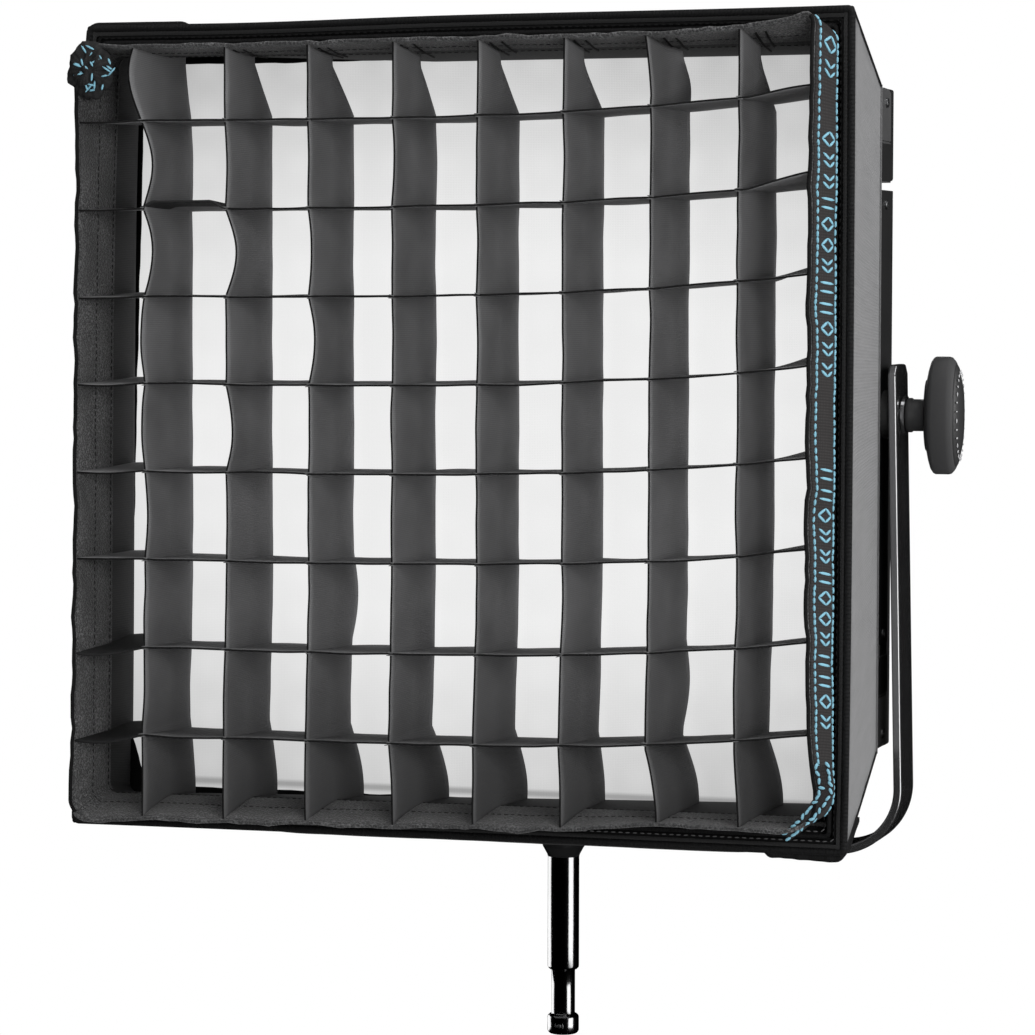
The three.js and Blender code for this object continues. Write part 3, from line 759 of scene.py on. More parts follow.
# How far the last cell of each row of level slats is lifted, in mm: at the front, and behind.
END_LIFT = ((2, 1), (4.5, 0), (0, 6.5), (0, 6.5), (0, 4.5), (0, 2), (0, 0.5), (0, 0))


def cell_of(place, crossings):
    """The cell that a place on a slat is in, counted along the crossings, and its share of the way across."""
    pitch = crossings[1] - crossings[0]
    edges = [crossings[0] - pitch, *crossings, crossings[-1] + pitch]
    cell = sum(place >= crossing for crossing in crossings)
    return cell, ramp(place, edges[cell], edges[cell + 1])


def rise(x):
    """The level slats climb towards the right band, which is sewn on high there."""
    return 11 * MM * ((x + BAND_HALF[0]) / (2 * BAND_HALF[0])) ** 4


def make_upright(k):
    """An upright slat, from the top band to the bottom one. It gives back the shape of its sheet."""
    reach = BAND_HALF[1] - BAND_THICKNESS / 2
    local = random.Random(100 + k)
    slack = {}
    for cell in range(CELLS):
        front, rear = SLACK_UPRIGHT.get((k, cell), (local.uniform(-0.5, 0.5), local.uniform(-0.4, 0.4)))
        slack[cell] = (front * MM, rear * MM, local.uniform(-1.6, 1.6) * MM)
    crossings = [z + rise(UPRIGHT_X[k]) for z in LEVEL_Z]
    # From left to right the slats lean over more and more, their front edges most.
    front_shift, rear_shift = (1.8 - 5.1 * k / 7) * MM, (1.2 - 1.8 * k / 7) * MM

    def place(u, v):
        z = reach * (2 * u - 1)
        count, share = cell_of(z, crossings)
        front, rear, belly = slack[CELLS - 1 - count]
        swell = math.sin(math.pi * share)
        x = ((1 - v) * front + v * rear + 4 * v * (1 - v) * belly) * swell
        x += (1 - v) * front_shift + v * rear_shift - 1.7 * MM * ramp(-z, 75 * MM, 140 * MM)
        y = BAND_FRONT + 0.8 * MM + v * (BAND_DEPTH - 4.5 * MM)
        y -= TOP_PULL[k] * MM * ramp(z, 146 * MM, 170 * MM) * v * v
        lean = math.sin(math.pi / 2 * ramp(LEVEL_Z[0] - z, 0, 30 * MM)) * MM
        x += lean * (v * BOTTOM_LEAN[k] + (1 - v) * FRONT_LEAN[k])
        if k == 6:
            x -= 3.5 * MM * (1 - v) * ramp(z, 150 * MM, 176 * MM)
        x += 0.35 * MM * noise.noise(Vector((k * 9.1, z * 60, v * 2)))
        across, up = settle(UPRIGHT_X[k] + x, z, v)
        return at(UPRIGHT_X[k] + x + across, y, z + up)

    size = (2 * reach, BAND_DEPTH)
    made = cloth(f"slat_upright_{k + 1}", place, (180, 12), size, "slat", SLAT_THICKNESS,
                 [f"grid_slat_upright_{k + 1}"], edge_paint="trim")
    return place


def make_level(k):
    """A level slat, from the left band to the right one. It gives back the shape of its sheet."""
    reach = BAND_HALF[0] - BAND_THICKNESS / 2
    local = random.Random(300 + k)
    row = SLATS - 1 - k
    slack = {cell: (local.uniform(-0.5, 0.5) * MM, local.uniform(-0.5, 0.5) * MM) for cell in range(CELLS)}
    low = ramp(row, 3.2, 7)
    front_lift, rear_lift = END_LIFT[row]
    front_bulge, rear_bulge = (-4.5, 2.5) if row > 5 else (-0.8, 1.2)

    def place(u, v):
        x = reach * (2 * u - 1)
        cell, share = cell_of(x, UPRIGHT_X)
        front, rear = slack[cell]
        swell = math.sin(math.pi * share)
        z = LEVEL_Z[k] + rise(x) + ((1 - v) * front + v * rear) * swell
        z -= ((1 - v) * 2 * low ** 1.5 + v * 5.3 * low) * MM
        if cell == CELLS - 1:
            lifted = math.sin(math.pi / 2 * min(1, share * 1.25)) ** 1.3
            z += ((1 - v) * front_lift + v * rear_lift) * MM * lifted
        if cell == 0:
            z += ((1 - v) * front_bulge + v * rear_bulge) * MM * swell
        if cell == 1 and row == 1:
            z += (1 - v) * 3.6 * MM * min(1, 2.2 * swell)
        z += 0.3 * MM * noise.noise(Vector((x * 60, k * 5.7, v * 2)))
        y = BAND_FRONT + 0.8 * MM + v * (BAND_DEPTH - 4.5 * MM)
        return at(x + settle(x, z, v)[0], y, z)

    size = (2 * reach, BAND_DEPTH)
    columns, rows = 180, 12
    made = cloth(f"slat_level_{k + 1}", place, (columns, rows), size, "slat", SLAT_THICKNESS,
                 [f"grid_slat_level_{k + 1}"], edge_paint="trim")
    # Painted shade: the front half of the second cell in the second row from the top, and the left cells of
    # the two lowest rows, take the darker band cloth.
    made.data.materials.append(PAINTS["scrap"])
    for polygon in made.data.polygons:
        across = reach * (2 * (polygon.index // rows + 0.5) / columns - 1)
        cell, _ = cell_of(across, UPRIGHT_X)
        if (row == 1 and cell == 1 and polygon.index % rows < 6) or (row > 5 and cell == 0):
            polygon.material_index = 2
    return place


def make_bar_tacks(uprights, levels):
    """Short bars of thread over each crossing of the grid's front edges."""
    points = []
    faces = []
    for k in range(SLATS):
        for row in range(SLATS):
            share = (UPRIGHT_X[k] / (BAND_HALF[0] - BAND_THICKNESS / 2) + 1) / 2
            spot = levels[row](share, 0)
            height = (spot.z - HEAD_Z) / (BAND_HALF[1] - BAND_THICKNESS / 2)
            across = uprights[k]((height + 1) / 2, 0).x
            for lift in (-0.7, 0.5):
                x = across + chance.uniform(-0.6, 0.6) * MM
                centre = Vector((x, spot.y - 0.35 * MM, spot.z + lift * MM))
                along = Vector((1, 0, chance.uniform(-0.3, 0.3))).normalized()
                add_stitch(points, faces, centre, along, FORWARD, chance.uniform(1.8, 3.6) * MM, 0.7 * MM)
    plain_piece("grid_bar_tacks", points, faces, "thread")


def make_creases(place, steps):
    """Two folds beside the top of each upright slat, across the inner face of the top band, drawn as thin
    black cords whose black is painted shade.
    """
    for k in range(1, SLATS):
        for number, (front_gap, rear_gap) in enumerate(((2.5, -2.5), (8, 2.5))):
            fold = []
            shift = chance.uniform(-1.2, 1.2)
            reach = chance.uniform(0.5, 0.8)
            for step in range(9):
                v = 0.12 + (reach - 0.12) * step / 8
                x = UPRIGHT_X[k] + (front_gap + (rear_gap - front_gap) * v + shift) * MM
                u = 0.5 + x / (2 * BAND_HALF[0]) * 64 / 80
                spot = place(min(1, max(0, round(u * steps) / steps)), v)
                fold.append(Vector((x, spot.y, spot.z - BAND_THICKNESS / 2 - 0.1 * MM)))
            # Painted shade: each fold is a thin black cord.
            cord_along(f"band_fold_{k + 1}_{number + 1}", fold, 0.5 * MM, "trim")


def make_crumple():
    """The band's bunched upper left corner: a dished scrap of crumpled cloth painted dark as its shade, with
    blue threads showing.
    """
    centre = at(-168.5 * MM, BAND_FRONT + 1 * MM, 165.5 * MM)
    reach = Vector((10.5 * MM, 6 * MM, 12 * MM))
    columns, rows = 64, 20

    def place(u, v):
        turn = 2 * math.pi * u
        out = math.sin(v * math.pi / 2)
        a, b = out * math.cos(turn), out * math.sin(turn)
        spot = Vector((a * 1.5, b * 1.5, 3))
        ridge = 1 - 2 * abs(noise.noise(spot * 1.4))
        lumps = noise.noise(spot * 2.2) + 0.3 * noise.noise(spot * 5.5)
        puff = 1 + 0.1 * ridge + 0.16 * lumps
        forward = math.cos(v * math.pi / 2) * (0.6 + 0.4 * ridge + 0.3 * lumps)
        return centre + Vector((reach.x * a * puff, -reach.y * forward, reach.z * b * puff))

    grid = [[place(i / columns, j / rows) for j in range(rows + 1)] for i in range(columns + 1)]
    area = 0.0
    for i in range(columns):
        for j in range(rows):
            a, b, c, d = grid[i][j], grid[i + 1][j], grid[i + 1][j + 1], grid[i][j + 1]
            area += ((b - a).cross(c - a).length + (c - a).cross(d - a).length) / 2
    side = math.sqrt(area)
    made = cloth("band_crumple_top_left", place, (columns, rows), (side, side), "scrap", 0.8 * MM)
    points = []
    faces = []
    for _ in range(26):
        first = place(chance.uniform(0, 1), chance.uniform(0.1, 0.62)) + Vector((3 * MM, -1 * MM, 0))
        lean = chance.choice((0.2, 1.0, 1.3, 2.0, 2.7)) + chance.uniform(-0.25, 0.25)
        add_stitch(points, faces, first, outward(lean), FORWARD, chance.uniform(2.4, 5.2) * MM, 1.1 * MM)
    plain_piece("band_crumple_top_left_marks", points, faces, "blue")


def make_corner_fold():
    """A fold of slack cloth behind the grid's lower left corner, painted dark as the shade there."""
    size = (10.5 * MM, 32 * MM)

    def place(u, v):
        left, right = -181.0, -175.3 + 8.5 * v ** 0.8
        x = left + (right - left) * u
        bulge = 1.5 * math.sin(math.pi * u) + 0.8 * noise.noise(Vector((u * 3, v * 6, 4)))
        return Vector((x * MM, BAND_REAR - (1.5 + bulge) * MM, HEAD_Z - (152 + 31 * v) * MM))

    made = cloth("band_corner_fold", place, (10, 24), size, "scrap", 0.8 * MM)


def make_corner_ribbon():
    """The end of the right side's blue-edged strip, folded in across the band's lower right corner."""
    bends = [Vector((x * MM, z * MM)) for x, z in RIBBON]
    width = 10.5 * MM

    def place(u, v):
        along = u * (len(bends) - 1)
        step = min(len(bends) - 2, math.floor(along))
        course = (bends[step + 1] - bends[step]).normalized()
        spot = bends[step].lerp(bends[step + 1], along - step)
        spot += Vector((-course.y, course.x)) * width * (v - 0.5) * (0.8 - 0.35 * u)
        curl = 0.8 * MM * noise.noise(Vector((u * 5, v * 2, 6)))
        return at(spot.x, BAND_FRONT - 1.6 * MM + curl + 4 * MM * u * u, spot.y)

    size = (path_length(bends), width)
    made = cloth("band_corner_ribbon", place, (30, 6), size, "band_face", 0.5 * MM)
    runs = [[(place(i / 30, v) + FORWARD * 0.5 * MM, FORWARD) for i in range(31)] for v in (0.2, 0.8)]
    stitches("band_corner_threads", runs, 3.0 * MM, 3.0 * MM, 1.7 * MM, "blue", wobble=0.7)


# ---- Softbox cloth ----
def side_axes(side):
    """The way out of one side of the square, and the way along it, clockwise from the front."""
    angle = math.radians(SIDE_ANGLE[side])
    return outward(angle), outward(angle - math.pi / 2)


def make_wall(side):
    """One side wall of the softbox, narrowing to the frame, with a hem at its rear edge."""
    out_front, along_front = BOX_HALF if side in ("left", "right") else BOX_HALF[::-1]
    out, along = side_axes(side)
    thickness = 1.6 * MM

    def place(u, v):
        half = along_front + (FRAME_HALF - along_front) * v
        distance = out_front + (FRAME_HALF - out_front) * v - thickness / 2
        hollow = -1.2 * MM * math.sin(math.pi * v) * math.sin(math.pi * u) ** 0.5
        soft = 0.5 * MM * noise.noise(Vector((u * 7, v * 3.5, SIDES.index(side) * 11)))
        soft *= min(1, 6 * v, 6 * (1 - v))
        roll = -2.6 * MM * max(0, 1 - v / 0.06) ** 2
        flat = out * (distance + hollow + soft + roll) + along * half * (2 * u - 1)
        return sagged(at(flat.x, BOX_FRONT + (BOX_REAR - BOX_FRONT) * v, flat.z))

    length = math.hypot(BOX_REAR - BOX_FRONT, out_front - FRAME_HALF)
    size = (2 * along_front, length)
    made = cloth(f"wall_{side}", place, (72, 60), size, "wall", thickness, [f"softbox_wall_{side}"])
    rear = [place(i / 24, 0.992) + out * (thickness / 2 + 0.1 * MM) for i in range(25)]
    cord_along(f"wall_rear_hem_{side}", rear, 0.8 * MM, "wall")


def make_hem(side):
    """The rod pocket round the softbox's mouth: a doubled strip with rounded edges."""
    path = side_path(side, HEM_HALF, same_radii(3 * MM), straight=48, bend=4)
    section = []
    width, depth, round_off = 8 * MM, HEM_REAR - HEM_FRONT, 2.2 * MM
    for cx, cy, first in ((0, 0, 90), (0, 1, 0), (1, 1, -90), (1, 0, 180)):
        for step in range(5):
            angle = math.radians(first - 90 * step / 4)
            inward = cx * (width - 2 * round_off) + round_off - round_off * math.sin(angle)
            back = cy * (depth - 2 * round_off) + round_off - round_off * math.cos(angle)
            section.append((inward, back))
    points = []
    faces = []
    uvs = []
    for i, (x, z, angle) in enumerate(path):
        out = outward(angle)
        puff = 0.7 * MM * noise.noise(Vector((x * 45, z * 45, 3)))
        swell = 1 + 0.12 * noise.noise(Vector((x * 30, z * 30, 9)))
        for j, (inward, back) in enumerate(section):
            spot = at(x, HEM_FRONT + back + puff, z) - out * inward * swell
            points.append(sagged(spot))
            uvs.append((x + z, j * MM))
            if i:
                after = (j + 1) % len(section)
                a, b = (i - 1) * len(section), i * len(section)
                faces.append((a + j, b + j, b + after, a + after))
    faces.append(tuple(range(len(section))))
    faces.append(tuple(range(len(points) - len(section), len(points)))[::-1])
    piece(f"hem_{side}", mesh(f"hem_{side}", points, faces, uvs), "trim", replaces=[f"front_rod_hem_{side}"])


def make_mouth_trim():
    """Piping and stitch lines round the softbox's mouth, and a seam down each corner of its walls."""
    lip = (BOX_HALF[0] - 0.6 * MM, BOX_HALF[1] - 0.6 * MM)
    edge = [sagged(point) for point in closed_path(lip, same_radii(2 * MM), BOX_FRONT + 0.6 * MM)]
    cord_along("mouth_piping", edge, 1.7 * MM, "piping", closed=True)
    inner = (HEM_HALF[0] - 4.4 * MM, HEM_HALF[1] - 4.4 * MM)
    edge = [sagged(point) for point in closed_path(inner, same_radii(2 * MM), HEM_FRONT)]
    cord_along("mouth_piping_inner", edge, 1.1 * MM, "piping", closed=True)
    for side in SIDES:
        runs = []
        for inset in (2.2 * MM, 6.6 * MM):
            half = (HEM_HALF[0] - inset, HEM_HALF[1] - inset)
            runs.append([(sagged(at(x, HEM_FRONT - 0.5 * MM, z)), FORWARD)
                         for x, z, _ in side_path(side, half, same_radii(2 * MM))])
        # The bottom side's stitches take the paler seam thread, as painted light where the bottom of the
        # mouth is lit from below.
        paint = "thread" if side == "bottom" else "piping"
        stitches(f"mouth_stitches_{side}", runs, 3.4 * MM, 2.1 * MM, 0.7 * MM, paint, wobble=0.12)
    for corner, (across, up) in CORNER_SIGNS.items():
        seam = []
        for step in range(13):
            share = step / 12
            half_x = BOX_HALF[0] + (FRAME_HALF - BOX_HALF[0]) * share - 0.5 * MM
            half_z = BOX_HALF[1] + (FRAME_HALF - BOX_HALF[1]) * share - 0.5 * MM
            y = BOX_FRONT + (BOX_REAR - BOX_FRONT) * share
            seam.append(sagged(at(across * half_x, y, up * half_z)))
        cord_along(f"wall_seam_{corner}", seam, 1.2 * MM, "piping")


def make_diffuser():
    """The white sheet inside the softbox, puckered at its edges, with its black edging."""
    lowest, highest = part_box("diffuser_sheet")
    half_x, half_z = highest.x, (highest.z - lowest.z) / 2
    y = (lowest.y + highest.y) / 2

    def place(u, v):
        x, z = half_x * (2 * u - 1), half_z * (2 * v - 1)
        edge = min(u, 1 - u, v, 1 - v)
        slack = math.exp(-edge * 14)
        pucker = noise.noise(Vector((x * 38, z * 38, 2))) * 0.9 * MM * slack
        hollow = 0.5 * MM * math.sin(math.pi * u) * math.sin(math.pi * v)
        return sagged(at(x, y + pucker - hollow, z))

    size = (2 * half_x, 2 * half_z)
    made = cloth("diffuser", place, (96, 96), size, "diffuser", 0.6 * MM, ["diffuser_sheet"])
    binding = [make_binding(side, half_x, half_z, y) for side in SIDES]


def make_binding(side, half_x, half_z, y):
    """A black hook-and-loop edging along one side of the diffuser, wider at the top of its left side."""
    out, along = side_axes(side)
    reach, half = (half_x, half_z) if side in ("left", "right") else (half_z, half_x)
    widths = {"top": (8, 8), "right": (8, 8), "bottom": (4.5, 4.5), "left": (3.2, 6.2)}[side]

    def place(u, v):
        share = ramp(u, 0.3, 0.75)
        width = (widths[0] + (widths[1] - widths[0]) * share) * MM
        scallop = 0.6 * MM * noise.noise(Vector((u * 24, SIDES.index(side) * 5, 1)))
        point = out * (reach - v * (width + scallop)) + along * half * (2 * u - 1)
        return sagged(at(point.x, y - 1.3 * MM, point.z))

    return cloth(f"diffuser_edging_{side}", place, (72, 3), (2 * half, max(widths) * MM), "trim", 0.9 * MM)


def make_layer(node, name, paint, thickness, curl=0.0, shorten=0.0, ragged=0.0):
    """A layer of cloth on the outside of the top or bottom wall, with a loose front edge."""
    lowest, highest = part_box(node)
    above = lowest.z > HEAD_Z
    sign = 1 if above else -1
    slope = (FRAME_HALF - BOX_HALF[1]) / (BOX_REAR - BOX_FRONT)
    size = (highest.x - lowest.x - shorten, highest.y - lowest.y)

    def place(u, v):
        x = lowest.x + u * size[0]
        y = lowest.y + v * size[1]
        y += ragged * noise.noise(Vector((x * 220, 3, 5))) * max(0, 1 - v / 0.1)
        limit = BOX_HALF[0] + (FRAME_HALF - BOX_HALF[0]) * (y - BOX_FRONT) / (BOX_REAR - BOX_FRONT)
        x = max(-limit, min(limit, x))
        surface = BOX_HALF[1] + slope * (y - BOX_FRONT)
        lift = 0.3 * MM + thickness / 2 + curl * max(0, 1 - v / 0.3) ** 2
        lift -= 0.8 * thickness * (max(0, 1 - u / 0.09) ** 2 + max(0, (u - 0.91) / 0.09) ** 2)
        wave = (0.3 * MM + 0.6 * ragged) * noise.noise(Vector((x * 45, y * 30, 7)))
        return sagged(at(x, y, sign * (surface + lift + wave)))

    made = cloth(name, place, (44, 16), size, paint, thickness, [node])
    out = Vector((0, 0, sign))
    run = [(place(i / 28, 0.12) + out * (thickness / 2 + 0.1 * MM), out) for i in range(29)]
    stitches(f"{name}_stitches", [run], 3.2 * MM, 2.2 * MM, 0.7 * MM, "piping")


# ---- Yoke, stud and clamps ----
def make_yoke():
    """One flat bar: two arms with clipped tops that lean in a little, and a rounded bend at each foot."""
    lowest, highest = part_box("yoke_bar")
    thickness = 4.5 * MM
    bend = 33 * MM - thickness / 2
    half_width = highest.y
    across, down = Vector((1, 0)), Vector((0, -1))
    foot = Vector((highest.x - thickness / 2, lowest.z + thickness / 2 + bend))
    top = Vector((173.0 * MM - thickness / 2, highest.z))
    bend_centre = foot - bend * across
    # Stations along the bar's middle from the right arm's top: the place, the way out and half the width.
    stations = []
    for height, narrow in ((0, 5), (1.2, 3.8), (5, 0), (6.5, 0)):
        share = height * MM / (top.y - foot.y)
        stations.append((top.lerp(foot, share), across, half_width - narrow * MM))
    for step in range(1, 12):
        stations.append((top.lerp(foot, 0.02 + 0.98 * step / 12), across, half_width))
    for step in range(25):
        out = direction(-math.pi / 2 * step / 24)
        stations.append((bend_centre + bend * out, out, half_width))
    for step in range(1, 9):
        x = bend_centre.x * (1 - step / 8)
        stations.append((Vector((x, lowest.z + thickness / 2)), down, half_width))
    stations += [(Vector((-p.x, p.y)), Vector((-o.x, o.y)), w) for p, o, w in reversed(stations[:-1])]
    points = []
    faces = []
    for i, (place, out, half) in enumerate(stations):
        for lift, y in ((1, -half), (1, half), (-1, half), (-1, -half)):
            spot = place + out * lift * thickness / 2
            points.append(Vector((spot.x, y, spot.y)))
        if i:
            faces += ring_faces(4 * i, 4)
    faces.append((3, 2, 1, 0))
    faces.append(tuple(len(points) - 4 + j for j in range(4)))
    data = mesh("yoke", points, faces)
    face_out(data)
    bevel(piece("yoke", data, "yoke", "yoke", ["yoke_bar"]), 1.5 * MM, 4, 40)


def make_stud():
    """The stand stud with its clamp groove, its black collar, and a dimple at each end of its cross pin."""
    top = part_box("stand_stud")[1].z / MM
    shaft = [
        (0, 0), (6.4, 0), (6.9, 0.15), (7.6, 0.8), (8, 1.6), (8, 8.4), (7.8, 9.1), (7.0, 9.9), (6.3, 10.1),
        (6, 10.5), (6, 32.5), (6.3, 32.9), (7.0, 33.1), (7.8, 33.9), (8, 34.6), (8, 60), (8, top - 8.7),
        (0, top - 8.7),
    ]
    collar = [
        (0, top - 8.6), (8.1, top - 8.6), (8.4, top - 7.6), (10.2, top - 4.3), (10.6, top - 3.7),
        (10.7, top - 3), (10.7, top - 0.4), (10.3, top), (0, top),
    ]
    for name, paint, profile, stands_for in (
        ("stud", "stud", shaft, ["stand_stud"]),
        ("stud_collar", "collar", collar, []),
    ):
        profile = [(radius * MM, height * MM) for radius, height in profile]
        made = turn_profile(name, profile, "z", Vector((0, 0, 0)), paint, "yoke", stands_for)
        made.modifiers.new("sharp", "EDGE_SPLIT").split_angle = math.radians(38)
    pin_height = middle("stud_cross_pin").z
    dimple = ((2.3, -0.25), (2.2, 0.05), (1.8, 0.1), (1.6, -0.3), (1.45, -0.2), (1.1, 0.25), (0, 0.4))
    segments = 32
    for end, name in ((-1, "front"), (1, "back")):
        points = []
        faces = []
        for i, (radius, height) in enumerate(dimple):
            for j in range(segments):
                ring = radius * MM * direction(2 * math.pi * j / segments)
                points.append(Vector((ring.x, end * (7.75 + height) * MM, pin_height + ring.y)))
            if i:
                faces += ring_faces(segments * i, segments)
        plain_piece(f"stud_pin_{name}", points, faces, "plate", "yoke")


def make_knob(side):
    """A tilt knob: an oval grip, the face set into it, a round neck, and a ring of dashes on the face."""
    sign = 1 if side == "right" else -1
    lowest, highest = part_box(f"tilt_knob_{side}")
    inner = min(abs(lowest.x), abs(highest.x))
    tall = (highest.z - lowest.z) / 2 / MM
    squeeze = (highest.y - lowest.y) / (highest.z - lowest.z)
    back, front = 10.5, 26.0
    rim = [
        (5.5, back - 1.0), (8.4 / squeeze, back - 1.2), (tall - 12.5, back - 0.9),
        (tall - 5.5, back + 0.6), (tall - 2.2, back + 1.6), (tall - 0.5, back + 2.8), (tall, back + 3.8),
        (tall, front - 5.2), (tall - 0.4, front - 3.8), (tall - 2.0, front - 2.4), (tall - 2.8, front - 1.9),
        (tall - 3.5, front - 1.7), (tall - 4.0, front - 2.0),
    ]
    face = [
        (tall - 3.9, front - 2.2), (tall - 4.1, front - 1.3), (tall - 5.0, front - 0.8),
        (tall * 0.55, front + 1.0), (tall * 0.25, front + 1.7), (0.1, front + 1.8),
    ]
    neck = [
        (8.0, 0), (8.5, 0.5), (8.5, 2.2), (7.9, 2.8), (7.9, back - 2.2), (8.6, back - 1.4), (9.4, back - 0.9),
    ]
    centre = Vector((sign * inner, 0, PIVOT_Z))
    body = f"{side}_tilt_knob"
    for name, profile, paint, stands_for, shape in (
        ("grip", rim, "knob", [f"tilt_knob_{side}"], squeeze),
        ("face", face, "knob_face", [], squeeze),
        ("neck", neck, "knob_neck", [], 1.0),
    ):
        scaled = [(radius * MM, sign * height * MM) for radius, height in profile]
        made = turn_profile(f"knob_{name}_{side}", scaled, "x", centre, paint, body, stands_for, shape)
        made.modifiers.new("sharp", "EDGE_SPLIT").split_angle = math.radians(50)
    points = []
    faces = []
    marks = 30
    radius = 0.74 * tall * MM
    out = Vector((sign, 0, 0))
    for j in range(marks):
        y, z = direction(2 * math.pi * (j + 0.5) / marks)
        spot = centre + out * (front + 0.35) * MM + radius * Vector((0, squeeze * y, z))
        along = Vector((0, -squeeze * z, y)).normalized()
        if j % 3:
            along = along.cross(Vector((1, 0, 0)))
        add_stitch(points, faces, spot, along, out, 2.2 * MM, 1.0 * MM)
    plain_piece(f"knob_marks_{side}", points, faces, "knob_mark", body)


# ---- Metal and plastic that keeps its CAD shape ----
def dress_cad():
    """Give each CAD piece that stays in view its material and a small bevel."""
    finishes = {
        "stud_cross_pin": ("stud", 0.2), "stud_bolt": ("steel", 0.3), "stud_washer": ("yoke", 0.2),
        "heat_spreader": ("plate", 0.3), "led_mat": ("board", 0.3), "back_cover": ("plastic", 0.6),
        "junction_box": ("plastic", 1.2), "power_socket": ("steel", 0.2),
    }
    for side in SIDES:
        finishes[f"frame_rail_{side}"] = ("rail", 0.5)
    for corner in CORNERS:
        finishes[f"frame_corner_{corner}"] = ("plastic", 0.5)
    for side in ("right", "left"):
        finishes[f"pivot_block_{side}"] = ("plate", 0.4)
        finishes[f"pivot_bush_{side}"] = ("rubber", 0.4)
        finishes[f"knob_washer_{side}"] = ("yoke", 0.25)
        finishes[f"knob_screw_{side}"] = ("steel", 0.3)
    for node, (paint, width) in finishes.items():
        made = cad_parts[node]
        made.data.materials.clear()
        made.data.materials.append(PAINTS[paint])
        bevel(made, width * MM)


def screw_heads(name, places, radius):
    """Socket-head screws at (place, outward) pairs: a domed ring round a six-sided hole."""
    points = []
    faces = []
    profile = ((0.98, -0.6), (1.0, 0.25), (0.88, 0.42), (0.52, 0.42), (0.5, -0.3))
    segments = 24
    for place, out in places:
        side = out.orthogonal().normalized()
        other = out.cross(side)
        for i, (share, height) in enumerate(profile):
            for j in range(segments):
                turn = 2 * math.pi * j / segments
                reach = share * radius
                if i > 2:
                    reach *= math.cos(math.pi / 6) / math.cos(turn % (math.pi / 3) - math.pi / 6)
                ring = side * math.cos(turn) + other * math.sin(turn)
                points.append(place + ring * reach + out * height * radius)
            if i:
                faces += ring_faces(len(points) - segments, segments)
        faces.append(tuple(range(len(points) - segments, len(points))))
    piece(name, mesh(name, points, faces, smooth=False), "steel")


def blocks(name, spans, paint, width):
    """Plain rounded blocks, each given by its two ends across, in depth and up."""
    points = []
    faces = []
    for block in spans:
        first = len(points)
        for k in range(8):
            points.append(Vector([sorted(ends)[k >> axis & 1] for axis, ends in enumerate(block)]))
        for face in ((0, 2, 3, 1), (4, 5, 7, 6), (0, 1, 5, 4), (2, 6, 7, 3), (0, 4, 6, 2), (1, 3, 7, 5)):
            faces.append(tuple(first + k for k in face))
    bevel(piece(name, mesh(name, points, faces, smooth=False), paint), width)


def make_back():
    """Screws, ribs and vents on the frame and the back cover."""
    cover_low, cover_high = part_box("back_cover")
    box_low, box_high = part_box("junction_box")
    rear = Vector((0, 1, 0))
    screw_y = 1.5 * MM
    half = (cover_high.x, (cover_high.z - cover_low.z) / 2)
    spots = []
    for x in (-0.93, 0, 0.93):
        for z in (-0.93, 0, 0.93):
            if x or z:
                spots.append((at(x * half[0], cover_high.y, z * half[1]), rear))
    screw_heads("back_cover_screws", spots, 2.6 * MM)
    spots = []
    for across, up in CORNER_SIGNS.values():
        for gap in (8 * MM, 58 * MM):
            near = FRAME_HALF - gap
            spots.append((at(across * FRAME_HALF, screw_y, up * near), Vector((across, 0, 0))))
            spots.append((at(across * near, screw_y, up * FRAME_HALF), Vector((0, 0, up))))
    screw_heads("frame_corner_screws", spots, 2.4 * MM)
    spots = [(Vector((x * (box_high.x - 6 * MM), box_high.y, z)), rear)
             for x in (-1, 1) for z in (box_low.z + 6 * MM, box_high.z - 6 * MM)]
    screw_heads("junction_box_screws", spots, 2.4 * MM)
    slots = []
    for row in range(7):
        for column in range(-3, 4):
            x, z = column * 30 * MM, HEAD_Z + (40 + 12 * row) * MM
            slots.append(((x - 10 * MM, x + 10 * MM), (cover_high.y - 0.4 * MM, cover_high.y + 0.25 * MM),
                          (z, z + 3.2 * MM)))
    blocks("back_cover_vents", slots, "rubber", 0.4 * MM)
    ribs = [(((x - 1.2) * MM, (x + 1.2) * MM), (cover_high.y - 0.3 * MM, cover_high.y + 1.2 * MM),
             (HEAD_Z - 132 * MM, HEAD_Z + 20 * MM)) for x in (-128, -96, 96, 128)]
    blocks("back_cover_ribs", ribs, "plastic", 0.5 * MM)
    slots = [(((x - 1.2) * MM, (x + 1.2) * MM), (box_high.y - 0.4 * MM, box_high.y + 0.2 * MM),
              (box_low.z + 18 * MM, box_high.z - 18 * MM)) for x in range(-24, 25, 6)]
    blocks("junction_box_slots", slots, "rubber", 0.3 * MM)


